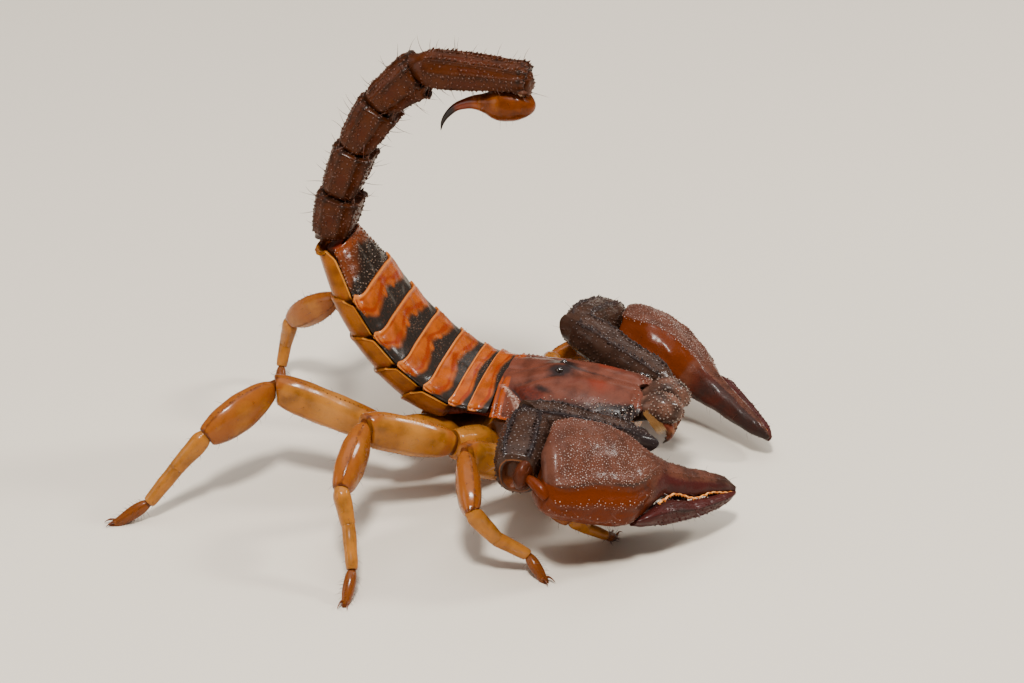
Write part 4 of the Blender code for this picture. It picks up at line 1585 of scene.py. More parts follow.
    def belly_plate(self, number: int, front: float, rear: float) -> None:
        """Build one belly plate with its leaf-shaped sides.

        Args:
            number: The plate, 3 to 7.
            front: Where it starts along the trunk.
            rear: Where it ends.
        """
        def form(share: Array, side: Array) -> Array:
            """Return the plate's outer face.

            Args:
                share: Share of the length.
                side: Share of the half width.

            Returns:
                One point for each pair.
            """
            edge = np.abs(side)
            flank = ease(edge, 0.45, 0.85)
            tip = ease(edge, 0.84, 1.0)
            length = rear - front + 0.26 - 0.10 * tip
            place = front - 0.14 + 0.02 * tip + length * share
            lift = 0.20 * (share - 0.35) + 0.30 * flank * share ** 1.6
            lift += 0.04 * swell(share, 0.965, 0.04) + 0.05 * swell(edge, 0.980, 0.015)
            lift += 0.10 * np.sin(math.pi * share) * flank
            lift -= 0.22 * (1 - ease(share, 0.0, 0.12))
            reach = (89 + self.belly_rise - 7.0 * ease(share, 0.78, 1.0) + 3.0
                     * np.sin(math.pi * share))
            degrees = 270 + side * reach
            return self.surface(place.clip(0, 7.1), degrees, lift)

        made = Clay.sheet(f"belly_plate_{number}_shell", 48, 140, form)
        share, edge = made.read("along"), np.abs(made.read("side"))
        made.tint(pale=swell(edge, 0.985, 0.014) * 0.95 + swell(share, 0.965, 0.04) * 0.35
                  + 0.30 * made.lumps(1.6, 71),
                  dark=(1 - ease(share, 0.02, 0.24)) * 0.7 + swell(edge, 0.955, 0.015) * 0.25
                  + 0.35 * ease(made.lumps(1.4, 72), 0.4, 1.3),
                  red=swell(edge, 0.86, 0.08) * (1 - ease(share, 0.15, 0.5)) * 0.6)
        made.modify("SOLIDIFY", thickness=0.22, offset=-1.0)
        made.settle(Finishes.BELLY, f"belly_plate_{number}", crease=60)

    def skin(self) -> None:
        """Build the soft skin that shows as a wrinkled fold along each side."""
        stations, steps = 150, 120
        place = np.linspace(0.0, 6.95, stations)
        degrees = np.arange(steps) * 360 / steps
        grid, turn = (a.ravel() for a in np.meshgrid(place, degrees, indexing="ij"))
        signed = np.degrees(np.arcsin(np.sin(np.radians(turn))))
        fold = swell(signed, 0.0, 12.0)
        covered = np.maximum(ease(signed, 5, 13), ease(-signed, 3, 12) * ease(grid, 1.8, 2.2))
        lift = -0.40 * (1 - covered) - 0.78 * covered
        lift += fold * (0.07 * np.sin(signed * 0.62 + 1.5 * np.sin(grid * 3.1)) + 0.05
                        * np.sin(grid * 31))
        rings = self.surface(grid, turn, lift).reshape(stations, steps, 3)
        made = Clay.tube("trunk_skin", rings, {"along": grid.reshape(stations, steps) / 7})
        points = made.points()
        made.swell_by(0.03 * lumps(points, 0.45, 7))
        made.mark("red", 0.5 + 0.5 * lumps(points, 1.2, 8))
        made.mark("dark", 0.25 * lumps(points, 0.8, 9).clip(0, 1))
        made.settle(Finishes.SKIN, "trunk_core", crease=80)

    def build(self) -> None:
        """Build the trunk."""
        self.skin()
        for number in range(1, 8):
            self.back_plate(number)
        spans = ((2.0, 3.2), (3.2, 4.15), (4.15, 5.1), (5.1, 6.05), (6.05, 7.0))
        for number, (front, rear) in enumerate(spans, start=3):
            self.belly_plate(number, front, rear)


@dataclass
class Underside:
    """The leg bases, the breastplate between them and the two comb organs behind it."""

    kit: Kit
    half: tuple = ((-7.0, 3.2), (-5.5, 4.35), (8.6, 4.35), (12.2, 3.2))
    low: tuple = ((-7.0, 5.8), (-4.0, 4.9), (0.0, 4.5), (5.0, 4.3), (9.0, 4.7), (12.2, 5.8))
    top: tuple = ((-7.0, 6.9), (-4.0, 6.4), (-1.0, 7.0), (0.2, 8.1), (6.0, 8.3), (12.2, 8.8))
    hips: tuple = (7.8, 4.0, -0.5, -4.9)
    comb_teeth: int = 17

    def block(self) -> None:
        """Build the leg bases, grooved from leg to leg."""
        count, steps = 110, 96
        x = np.linspace(-7.0, 12.2, count)
        tables = (self.half, self.low, self.top)
        half, low, top = (np.interp(x, *np.array(table).T) for table in tables)
        turn = np.linspace(0, 2 * math.pi, steps, endpoint=False)[None]
        c, s = np.cos(turn), np.sin(turn)
        reach = np.minimum(1.0, np.abs(c) ** 0.5 * 1.12) * np.sign(c)
        rise = np.minimum(1.0, np.abs(s) ** 0.6 * 1.10) * np.sign(s)
        y = half[:, None] * reach
        z = ((low + top) / 2)[:, None] + ((top - low) / 2)[:, None] * rise
        flat = np.broadcast_to(x[:, None], y.shape)
        under = ease(-rise, 0.3, 0.9)
        out = ease(np.abs(y), 0.7, 1.6)
        groove = np.zeros_like(y)
        for ahead, behind in zip(self.hips, self.hips[1:]):
            line = (ahead + behind) / 2 + (np.abs(y) - 4.35) * 0.55
            groove += swell(flat, line, 0.16)
        line = (self.hips[0] + 2.3) + (np.abs(y) - 4.35) * 0.2
        groove += swell(flat, line, 0.16)
        centre = swell(y, 0.0, 0.16) * ease(flat, -1.5, -0.5)
        z = z + under * (0.30 * groove * out + 0.22 * centre)
        made = Clay.tube("leg_bases", np.stack([flat, y, z], axis=2))
        points = made.points()
        made.mark("red", 0.35 + 0.4 * lumps(points, 1.5, 15))
        made.mark("dark", ease(np.abs(points[:, 1]), 4.0, 4.4) * 0.6)
        made.settle(Finishes.LEG, "leg_bases_and_breastplate", crease=60)

    def plates(self) -> None:
        """Add the five-sided breastplate, the two lids behind it and the combs' base."""
        for name, x, y, z, size in (("breastplate", 2.3, 0.0, 4.42, (0.95, 0.85, 0.28)),
                                    ("lid_right", 0.95, -0.55, 4.45, (0.62, 0.55, 0.26)),
                                    ("lid_left", 0.95, 0.55, 4.45, (0.62, 0.55, 0.26)),
                                    ("comb_base", -0.25, 0.0, 4.50, (0.62, 1.25, 0.30))):
            Clay.ball(name, vec(x, y, z), size, 40).mark("red", 0.5).settle(Finishes.BELLY)

    def combs(self) -> None:
        """Build the comb organs: a jointed back with a row of rounded teeth."""
        for side in Side:
            share = np.linspace(0, 1, 30)
            path = np.stack([-0.4 - 2.9 * share, side.value * (0.7 + 3.3 * share),
                             4.45 + 0.25 * share], axis=1)
            girth = 0.30 * (1 - 0.55 * share ** 2)
            girth = girth * (1 + 0.10 * np.cos(share * 2 * math.pi * 3))
            comb = Limb.through("comb_" + side.word, path, girth, girth * 0.6, 20, 2.3)
            comb.mark("pale", 0.6)
            parts = []
            for tooth in np.linspace(0.05, 0.97, self.comb_teeth):
                root = fit(tuple(zip(share, *path.T)), tooth)[0]
                way = unit(vec(-0.75, -side.value * 0.65, -0.12))
                length = 0.95 - 0.30 * tooth
                turn = Vector(way).to_track_quat("Z", "Y").to_matrix().to_4x4()
                parts.append(Clay.ball("tooth", root + way * (0.2 + length / 2),
                                       (0.075, 0.12, length / 2), 12, turn))
            comb.join(parts)
            comb.settle(Finishes.BELLY)

    def build(self) -> None:
        """Build the underside."""
        self.block()
        self.plates()
        self.combs()


# ---- tail ----
@dataclass
class Tail:
    """The arched tail, its bulb and its sting."""

    kit: Kit
    coat: Coat
    joints: tuple = ((-15.95, 22.25), (-15.15, 26.35), (-13.65, 30.95), (-11.45, 35.40),
                     (-7.95, 39.15), (2.10, 39.60))
    half_height: tuple = (2.00, 1.85, 1.78, 1.72, 1.58)
    half_width: tuple = (2.15, 1.95, 1.85, 1.75, 1.65)
    sting_path: tuple = ((-1.70, 36.68), (-2.60, 36.64), (-3.40, 36.44), (-4.40, 35.97),
                         (-5.20, 35.15), (-5.62, 34.40), (-5.80, 33.60))
    sting_half: tuple = (0.86, 0.66, 0.50, 0.37, 0.27, 0.17, 0.03)

    def segment(self, number: int) -> None:
        """Build one segment with its keels, its rows of small teeth and its hairs.

        Args:
            number: The segment, 1 at the trunk to 5 at the bulb.
        """
        points = [vec(x, 0, z) for x, z in self.joints]
        start, end = points[number - 1], points[number]
        way = unit(end - start)
        upward = vec(way[2], 0, -way[0])
        trunk = vec(-math.cos(math.radians(64)), 0, math.sin(math.radians(64)))
        before = trunk if number == 1 else unit(start - points[number - 2])
        after = unit(points[number + 1] - end) if number < 5 else vec(0.93, 0, -0.37)
        half, wide = self.half_height[number - 1], self.half_width[number - 1]
        rows = ((0.0, 0.80, 0.60, 0.88), (0.10, 0.90, 0.74, 0.95), (0.30, 0.97, 0.92, 1.0),
                (0.62, 1.0, 1.00, 1.02), (0.86, 1.0, 1.04, 1.02), (1.0, 0.93, 0.97, 0.97))
        keels = Keel.pairs((52, 0.20), (18, 0.13), (-20, 0.10), (-50, 0.10), (-78, 0.08))
        if number in (3, 4):
            swollen = (0.06, 0.18, 0.26, 0.22) if number == 3 else (0.10, 0.28, 0.42, 0.36)
            rows = rows[:2] + tuple((share, side, high + more, deep)
                                    for (share, side, high, deep), more in zip(rows[2:], swollen))
        if number == 5:
            rows = ((0.0, 0.80, 0.70, 0.88), (0.08, 0.90, 0.86, 0.98), (0.30, 0.99, 0.98, 1.02),
                    (0.60, 0.99, 0.90, 0.84), (0.82, 0.95, 0.82, 0.66), (0.95, 0.97, 0.76, 0.58),
                    (1.0, 0.86, 0.64, 0.50))
            keels = (Keel(-90, 0.16, 6), *Keel.pairs((-48, 0.22), (-8, 0.12), (40, 0.10, 10)))
        girths = tuple((share, side * wide, high * half, deep * half) for share, side, high,
                       deep in rows)
        stations = tuple(np.linspace(0, 1, 80))
        piece = Segment(start, end, girths, unit(before + way), unit(way + after), 2.5, keels, 128,
                        stations, upward, 0.92, 0.03)
        made = piece.build(f"tail_segment_{number}_shell")
        share, turn = made.read("along"), made.turn()
        if number < 5:
            rise = 0.26 * swell(share, 0.95, 0.06) * (swell(turn, 58, 14) + swell(turn, 122, 14))
            rise += 0.12 * swell(share, 0.95, 0.05) * (swell(turn, 18, 14) + swell(turn, 162, 14))
            rise -= 0.22 * swell(turn, 90, 24) * ease(share, 0.1, 0.3)
        else:
            rise = 0.16 * swell(share, 0.95, 0.04) * (0.5 + 0.5 * np.cos(np.radians(turn * 7)))
            rise -= 0.15 * swell(turn, 90, 30)
        made.swell_by(rise + 0.035 * made.lumps(0.9, 90 + number))
        keel = on_keels(keels, turn) * ease(share, 0.04, 0.12)
        ends = 1 - ease(share, 0.02, 0.08) + ease(share, 0.97, 1.0)
        made.tint(dark=keel * 0.50 + ends * 0.45 + 0.45 * swell(share, 0.955, 0.015),
                  pale=swell(turn, 90, 30) * swell(share, 0.55, 0.35) * 0.45
                  + swell(share, 0.985, 0.008) * 0.3 + 0.3 * made.lumps(1.5, 95))
        made.mark("red", swell(share, 0.5, 0.35) * (1 - keel) * 0.55
                  + (1 - ease(share, 0.03, 0.14)) * 0.3)
        self.teeth(made, piece, keels, number)
        if number == 5:
            self.end_lobes(made)
        cover = ease(made.read("along"), 0.05, 0.12) * (0.25 + 0.5 * on_keels(keels, made.turn()))
        self.kit.grains(made, 0.30, cover * made.bare(), 100 + number, 0.32, 0.35)
        bare = ease(made.read("along"), 0.05, 0.12) * made.bare()
        self.coat.grow("tail_hairs", made, 1.0, bare, 2.0, 0.038, way * 0.5, 110 + number)
        made.settle(Finishes.TAIL, f"tail_segment_{number}", crease=60)

    def teeth(self, made: Clay, piece: Segment, keels: tuple[Keel, ...], number: int) -> None:
        """Stand a row of small teeth on each keel, the last ones the largest.

        Args:
            made: The segment.
            piece: Its shape.
            keels: Its raised lines.
            number: The segment's number.
        """
        places, widths, heights = [], [], []
        length = float(np.linalg.norm(piece.end - piece.start))
        for index, keel in enumerate(keels):
            strong = keel.height > 0.15
            count = int(length * 0.86 / (0.40 if strong and number == 5 else 0.52))
            draw = np.random.default_rng(200 + number * 20 + index)
            for step in range(count):
                share = 0.12 + 0.85 * (step + draw.uniform(-0.15, 0.15)) / max(count - 1, 1)
                size = keel.height * (0.55 + 0.6 * draw.random()) * (1.55 if number == 5 else 0.85)
                if strong and number < 5 and step == count - 1:
                    size = (0.46, 0.50, 0.95, 0.90)[number - 1]
                places.append(piece.at(min(share, 0.97), keel.angle))
                widths.append(0.09 + 0.28 * size)
                heights.append(size * 1.1)
        self.kit.teeth(made, np.array(places), np.array(widths), np.array(heights),
                       unit(piece.end - piece.start), 0.35, along=0.5, dark=0.45)

    def end_lobes(self, made: Clay) -> None:
        """Add the knobs and the two spines where the last segment meets the bulb.

        Args:
            made: The last segment.
        """
        parts = []
        for place, size in (((0.75, 0.0, 39.75), (0.90, 1.25, 1.02)),
                            ((1.65, 0.0, 39.35), (0.80, 1.20, 0.90)),
                            ((1.95, 0.0, 38.90), (0.62, 1.15, 1.15))):
            lobe = Clay.ball("lobe", vec(*place), size, 40)
            lobe.swell_by(0.09 * lobe.lumps(0.6, 140))
            lobe.mark("dark", 0.35 + 0.3 * lobe.lumps(0.8, 141)).mark("along", 0.5)
            parts.append(lobe)
        made.join(parts)
        tips = np.array([(1.75, side * 0.45, 40.3) for side in (-1, 1)])
        self.kit.teeth(made, tips, 0.26, 0.75, vec(1, 0, 0.8), 0.9, dark=0.6, along=0.5)

    @staticmethod
    def middle_path(x: Array, z: Array) -> Array:
        """Return points in the animal's middle plane."""
        return np.stack([x, x * 0, z], axis=1)

    def bulb(self) -> None:
        """Build the bulb, the sting and the soft joint behind them."""
        rows = ((0.0, 2.50, 37.40, 0.22, 0.22), (0.04, 2.42, 37.34, 0.62, 0.58),
                (0.09, 2.24, 37.24, 0.95, 0.90), (0.17, 1.88, 37.12, 1.22, 1.15),
                (0.29, 1.30, 36.98, 1.44, 1.36), (0.44, 0.60, 36.84, 1.56, 1.48),
                (0.60, -0.20, 36.76, 1.50, 1.47), (0.76, -1.00, 36.70, 1.24, 1.23),
                (0.88, -1.60, 36.68, 0.98, 0.95), (1.0, -2.20, 36.66, 0.76, 0.73))
        table = fit(rows, np.linspace(0, 1, 56))
        made = Limb.through("bulb_shell", self.middle_path(table[:, 0], table[:, 1]), table[:, 2],
                            table[:, 3], 64, 2.1, vec(0, 0, -1))
        z = made.points()[:, 2]
        patches = ease(made.lumps(1.4, 132), 0.5, 1.2)
        made.swell_by(0.04 * made.lumps(1.1, 131))
        share = made.read("along")
        made.tint(dark=0.30 * swell(share, 0.35, 0.15) * swell(z, 36.9, 0.5) + 0.4 * patches,
                  pale=swell(share, 0.66, 0.2) * ease(z, 36.0, 36.8) * 0.45
                  + ease(share, 0.86, 1.0) * 0.5)
        self.coat.grow("tail_hairs", made, 0.8, ease(share, 0.1, 0.2), 1.0, 0.017, vec(0, 0, -0.3),
                       133)
        made.settle(Finishes.BULB, "venom_bulb", crease=80)
        self.sting()
        self.soft_joint()

    def sting(self) -> None:
        """Build the curved sting."""
        steps = np.linspace(0, 1, len(self.sting_path))
        table = fit(np.column_stack([steps, self.sting_path, self.sting_half]),
                    np.linspace(0, 1, 44))
        made = Limb.through("sting_needle", self.middle_path(table[:, 0], table[:, 1]),
                            table[:, 2],
                            table[:, 2], 36, 2.0, vec(0, 0, -1))
        share = made.read("along")
        made.mark("dark", ease(share, 0.34, 0.66)).mark("red", swell(share, 0.38, 0.18) * 0.8)
        made.mark("pale", (1 - ease(share, 0.15, 0.40)) * 0.5)
        made.settle(Finishes.STING, "sting", crease=80)

    def soft_joint(self) -> None:
        """Build the pads and the wrinkled skin between the last segment and the bulb."""
        for side in (-1, 1):
            pad = Clay.ball("bulb_joint_pad", vec(1.80, 1.28 * side, 38.60), (0.56, 0.22, 0.20),
                            28)
            pad.swell_by(0.05 * pad.lumps(0.5, 142))
            pad.mark("pale", 0.36).settle(Finishes.SKIN)
        rows = ((0.0, 1.55, 39.0, 0.85, 0.60), (0.5, 1.62, 38.35, 0.80, 0.52),
                (1.0, 1.45, 37.6, 0.80, 0.50))
        fold = fit(rows, np.linspace(0, 1, 24))
        ripple = 1 + 0.05 * np.sin(np.linspace(0, 26, 24))
        made = Limb.through("bulb_joint_skin", self.middle_path(fold[:, 0], fold[:, 1]),
                            fold[:, 2] * ripple, fold[:, 3] * ripple, 40, 2.0, vec(1, 0, 0.2))
        made.mark("pale", 0.9).settle(Finishes.SKIN)

    def build(self) -> None:
        """Build the tail."""
        for number in range(1, 6):
            self.segment(number)
        self.bulb()


# ---- pincer arms ----
@dataclass
class Pincer:
    """One pincer arm: ring segment, upper arm, forearm, hand and moving finger."""

    kit: Kit
    coat: Coat
    side: Side
    roll: float                   # the hand's back leans outwards, degrees
    joints: tuple                 # socket, ring end, elbow, forearm end, wrist, fingertip
    hand_length: float = 20.5
    wrist_face: tuple = (0.98, -0.10, -0.15)
    first: float = 0.2            # where the hand's sections start along it
    reach: float = 20.3           # and how far they go
    # place along, inner edge, outer edge, half thickness
    palm: tuple = ((0.20, -1.9, 1.7, 1.30), (0.7, -3.3, 2.9, 1.95), (1.4, -4.2, 3.5, 2.32),
                   (2.7, -4.75, 3.8, 2.65),
                   (4.6, -4.85, 3.95, 2.85), (6.8, -4.65, 4.05, 2.80), (8.8, -3.95, 3.95, 2.50),
                   (10.6, -2.95, 2.75, 2.10), (12.4, -2.10, 1.55, 1.65), (15.0, -1.55, 1.35, 1.30),
                   (17.6, -1.30, 0.85, 0.95), (19.6, -0.85, 0.45, 0.60), (20.5, -0.30, 0.25, 0.28))
    finger: tuple = ((9.6, 3.55, 4.00, 0.60), (10.8, 2.75, 3.95, 1.25), (12.5, 1.70, 3.70, 1.50),
                     (15.0, 1.50, 3.15, 1.22), (17.6, 0.98, 2.25, 0.92), (19.5, 0.45, 1.35, 0.62),
                     (20.5, 0.20, 0.65, 0.28))
    ring_girth: tuple = ((0.0, 1.05, 1.15), (0.4, 1.25, 1.35), (1.0, 1.20, 1.25))
    upper_girth: tuple = ((0.0, 1.15, 1.20), (0.12, 1.40, 1.45), (0.45, 1.50, 1.60),
                          (0.80, 1.65, 1.75), (1.0, 1.45, 1.50))
    fore_girth: tuple = ((0.0, 1.45, 1.50), (0.16, 1.85, 1.95), (0.50, 2.10, 2.35),
                         (0.85, 2.05, 2.40),
                         (1.0, 1.60, 1.90))

    def __post_init__(self) -> None:
        """Work out which way the hand lies."""
        self.points = [vec(*point) for point in self.joints]
        wrist, tip = self.points[4:]
        self.along = unit(tip - wrist)
        self.scale = float(np.linalg.norm(tip - wrist)) / self.hand_length
        upright = unit(vec(0, 0, 1) - self.along * self.along[2])
        outward = np.cross(upright, self.along)
        if (outward[1] > 0) == (self.side is Side.RIGHT):
            outward = -outward
        lean = math.radians(self.roll)
        self.back = upright * math.cos(lean) + outward * math.sin(lean)
        self.outer = outward * math.cos(lean) - upright * math.sin(lean)
        self.face = unit(vec(self.wrist_face[0], -self.side.value * self.wrist_face[1],
                             self.wrist_face[2]))
        self.inner_edge, self.inner_turn = (150, 10) if self.side is Side.RIGHT else (134, 36)

    @staticmethod
    def even(rows: tuple) -> tuple:
        """Give each row of a girth table the same depth below as above."""
        return tuple((*row, row[-1]) for row in rows)

    def name(self, part: str) -> str:
        """Return a piece's name with its side."""
        return f"arm_{self.side.word}_{part}_shell"

    def section(self, table: tuple, along: Array, angle: Array, power: float) -> Array:
        """Return places on the surface of the hand or of a finger.

        Args:
            table: The piece's sections.
            along: Places along the hand.
            angle: Angles round the sections, as a row.
            power: 2 for an ellipse, more for a boxier section.

        Returns:
            Points as (place, angle, xyz).
        """
        inner, outer, thick = fit(table, along).T[:, :, None]
        c, s = np.cos(angle), np.sin(angle)
        reach = (inner + outer) / 2 + (outer - inner) / 2 * np.sign(c) * np.abs(c) ** (2 / power)
        rise = thick * np.sign(s) * np.abs(s) ** (2 / power)
        centre = self.points[4] + self.along * (along[:, None] * self.scale)
        return (centre[:, None] + self.outer * (reach * self.scale)[..., None]
                + self.back * (rise * self.scale)[..., None])

    def loft(self, name: str, table: tuple, along: Array, steps: int, power: float) -> Clay:
        """Loft the hand or the moving finger, closed by a smaller ring at each end.

        Args:
            name: The piece's name, without its side.
            table: The piece's sections.
            along: The sections' places along the hand.
            steps: Points in each ring.
            power: 2 for an ellipse, more for a boxier section.

        Returns:
            The closed piece, cut off at the wrist.
        """
        angle = np.linspace(0, 2 * math.pi, steps, endpoint=False)[None]
        rings = self.section(table, along, angle, power)
        short = np.maximum(0, (self.points[4] + self.face * 0.06 - rings) @ self.face)
        rings = rings + self.face * short[..., None]
        share = (along - along[0]) / (along[-1] - along[0])
        caps = [(ring, ring.mean(axis=1, keepdims=True), size)
                for ring, size in ((rings[:1], 0.5), (rings[-1:], 0.4))]
        root, tip = (middle + (ring - middle) * size for ring, middle, size in caps)
        rings = np.concatenate([root, rings, tip + self.along * 0.05])
        shares = np.repeat(np.pad(share, 1, "edge")[:, None], steps, axis=1)
        return Clay.tube(f"{name}_{self.side.word}_shell", rings, {"along": shares})

    def arm(self) -> None:
        """Build the ring segment, the upper arm and the forearm."""
        socket, ring_end, elbow, fore_end, wrist, _ = self.points
        root = unit(vec(0.55, self.side.value * 0.83, 0))
        shoulder, bend = bend_plane(socket, ring_end, elbow), bend_plane(ring_end, elbow, fore_end)
        stations = tuple(np.linspace(0, 1, 70))
        keels = Keel.pairs((58, 0.16, 6), (-55, 0.10, 6))
        ring = Segment(socket, ring_end, self.even(self.ring_girth), root, unit(ring_end - socket),
                       2.3, (),
                       96, tuple(np.linspace(0, 1, 40)), None, 0.9, 0.05, None,
                       ((0.92, -0.14), (0.72, -0.36), (0.42, -0.50)))
        self.dress("ring", ring, 300)
        upper = Segment(ring_end, elbow, self.even(self.upper_girth), shoulder, bend, 2.5, keels,
                        128,
                        stations, None, 0.78, 0.05)
        self.dress("upper", upper, 310)
        keels = (Keel(62, 0.20, 5), Keel(118, 0.16, 5), *Keel.pairs((-30, 0.10, 6)))
        fore = Segment(elbow, fore_end, self.even(self.fore_girth), bend, unit(fore_end - elbow),
                       2.7,
                       keels, 128, stations, None, 0.75, 0.06,
                       (wrist - self.face * 0.06, self.face),
                       ((0.93, -0.04), (0.84, 0.10), (0.76, 0.55), (0.45, 0.85)))
        self.dress("fore", fore, 320)

    def dress(self, part: str, piece: Segment, seed: int) -> None:
        """Build an arm segment with its colours, crests of teeth, grains and hairs.

        Args:
            part: Which segment it is.
            piece: Its shape.
            seed: Picks the places of its teeth, grains and hairs.
        """
        keels, way = piece.keels, unit(piece.end - piece.start)
        made = piece.build(self.name(part))
        share, turn = made.read("along"), made.turn()
        hollow = ease(share, 1.008, 1.02) if keels else share * 0
        keel = on_keels(keels, turn) * (1 - ease(share, 0.95, 1.0))
        made.swell_by(0.05 * made.lumps(1.2, seed) + 0.02 * made.lumps(0.5, seed + 1))
        base = 0.25 + 0.45 * (1 - ease(share, 0.08, 0.22)) if keels else 0.65
        # painted shade: the right arm is darkened and the left one is not, so the far arm shows
        # lighter than the near one
        base = base * (1.0 if self.side is Side.RIGHT else 0.0)
        made.mark("dark", (base + 0.6 * keel) * (1 - hollow) + hollow * 0.3)
        made.mark("red", (1 - ease(share, 0.05, 0.16)) * 0.15 + swell(turn, -90, 45) * 0.5
                  + swell(turn, 270, 45) * 0.5 + hollow * 0.6)
        made.mark("pale", swell(share, 1.0, 0.009) * 0.6 * (part == "fore"))
        if keels:
            draw = np.random.default_rng(seed + 2)
            places, sizes = [], []
            for number, item in enumerate(keels):
                size, gap = (0.22, 0.42) if number < 2 else (0.14, 0.5)
                count = int(float(np.linalg.norm(piece.end - piece.start)) * 0.82 / gap)
                for share_at in np.linspace(0.10, 0.93, count):
                    places.append(piece.at(share_at, item.angle + draw.normal(0, 2)))
                    sizes.append(size * draw.uniform(0.6, 1.35))
            sizes = np.array(sizes)
            self.kit.teeth(made, np.array(places), 0.08 + 0.42 * sizes, sizes * 1.3, way, 0.3,
                           along=0.5, dark=0.6)
        share, turn = made.read("along"), made.turn()
        cover = made.bare() * ease(share, 0.0, 0.04) * (1 - ease(share, 0.96, 0.99) * bool(keels))
        top = swell(turn, 90, 50) if keels else 1.0
        self.kit.grains(made, 0.30, cover * (0.26 + 0.6 * top), seed + 3, 0.34, 0.38)
        # painted glints: the grains' tip colour is strongest on the upper faces
        made.mark("grain", made.read("grain") * (0.45 + 0.45 * made.read("rise").clip(0, 1)))
        bare = made.bare() * ease(made.read("along"), 0.1, 0.2)
        self.coat.grow("arm_hairs", made, 1.5, bare, 1.5, 0.02, way, seed + 4)
        made.settle(Finishes.ARM, f"arm_{self.side.word}_{part}", crease=60)

    def hand(self) -> None:
        """Build the hand with its keels, its grained back and its fixed finger."""
        along = np.concatenate([np.linspace(self.first, 10.6, 60), np.linspace(10.8, 20.5, 44)])
        made = self.loft("hand", self.palm, along, 128, 2.45)
        self.model_hand(made)
        self.colour_hand(made)
        self.cover_hand(made)
        made.settle(Finishes.HAND, "hand_" + self.side.word, crease=60)

    def keel_angle(self, place: Array) -> Array:
        """Return where the main keel runs round the section, at places along the hand."""
        return fit(((0.0, 62), (2.7, 70), (4.6, 75), (6.8, 77), (8.8, 84), (11.0, 96), (14.0, 100),
                    (20.5, 96)), place)[:, 0]

    def border(self, place: Array) -> Array:
        """Return where the inner keel runs round the section, at places along the hand."""
        return self.inner_edge + self.inner_turn * (1 - ease(place, 1, 8))

    def model_hand(self, made: Clay) -> None:
        """Raise the keels and hollow the faces between them.

        Args:
            made: The hand.
        """
        place, turn = made.read("along") * self.reach + self.first, made.turn()
        root = ease(place, 0.3, 1.6)
        palm = (1 - ease(place, 9.0, 11.5)) * root
        main, border = self.keel_angle(place), self.border(place)
        lift = 0.26 * swell(turn, main, 5.0) * (0.35 * root + 0.65 * palm)
        for height, angle, width in ((-0.16, main - 14, 8), (0.14, main - 32, 6),
                                     (-0.08, main - 46, 8),
                                     (0.15, 12, 6), (0.16, border, 6), (-0.10, border - 30, 14),
                                     (0.12, 192, 7), (0.12, 235, 8), (0.12, -60, 8)):
            lift += height * swell(turn, angle, width) * palm
        wave = made.lumps(1.4, 400) * 0.06 + made.lumps(0.55, 401) * 0.022
        made.swell_by(lift + wave * root)

    def colour_hand(self, made: Clay) -> None:
        """Mark the hand's colours: pale lower faces, a painted shadow line under the main keel and
        red fingers.

        Args:
            made: The hand.
        """
        place, turn = made.read("along") * self.reach + self.first, made.turn()
        main, border = self.keel_angle(place), self.border(place)
        palm, finger = 1 - ease(place, 9.2, 11.6), ease(place, 9.8, 12.2)
        lower, inner = ease(main - turn, 2, 9), ease(turn, border - 2, border + 6)
        deep = np.maximum(ease(main - turn, 0, 25), inner)
        made.tint(pale=(lower + inner) * np.maximum(palm, inner * 0.5) + swell(place, 1.0, 1.0)
                  * 0.4,
                  red=finger * (0.25 + 0.65 * deep) + 0.15 * made.lumps(2.0, 405),
                  # painted shadow: a thin dark line just under the main keel
                  dark=swell(turn, main - 4, 1.8) * palm * 0.6 + ease(place, 15.5, 20) * 0.20
                  + finger * 0.30 + lower * palm * ease(place, 5.5, 10) * 0.5
                  + inner * ease(place, 8, 15) * 0.30 + 0.12 * made.lumps(1.3, 406))

    def cover_hand(self, made: Clay) -> None:
        """Cover the hand's faces with fine and coarse grains, and with hairs.

        Args:
            made: The hand.
        """
        place, turn = made.read("along") * self.reach + self.first, made.turn()
        main, border = self.keel_angle(place), self.border(place)
        palm = 1 - ease(place, 9.2, 11.6)
        upper = ease(turn, main - 4, main + 4) * (1 - ease(turn, border - 4, border + 2))
        near = swell(turn, main + 10, 17.0) * ease(place, 0.9, 2.4)
        reach = ease(place, 0.8, 1.6) * (0.25 + 0.75 * palm)
        fine = upper * (1 - near) * reach
        rows = (swell(turn, main - 32, 4.0) * 0.45 + swell(turn, 12, 4) * 0.25) * palm
        crest = swell(turn, main, 4.0) + swell(turn, border - 1, 4)
        coarse = (upper * near * reach * 2.4 + rows + crest) * ease(place, 0.6, 1.2)
        coarse *= 1 - ease(place, 17.5, 19)
        self.kit.grains(made, 0.20, fine.clip(0, 1) * 0.85, 412 + self.side.value, 0.40, 0.34)
        # painted glints: the fine grains' tip colour is dimmed, the coarse grains by the keel keep
        # it whole, and all of it fades towards the fingers
        made.mark("grain", made.read("grain") * 0.72)
        self.kit.grains(made, 0.18, coarse.clip(0, 1) * 0.92, 410 + self.side.value, 0.42, 0.46)
        made.mark("grain", made.read("grain") * (1 - 0.55 * ease(made.read("along"), 0.42, 0.60)))
        bare = made.bare() * ease(made.read("along"), 0.05, 0.2)
        self.coat.grow("hand_hairs", made, 1.5, bare, 1.3, 0.018, self.along * 0.8,
                       420 + self.side.value)

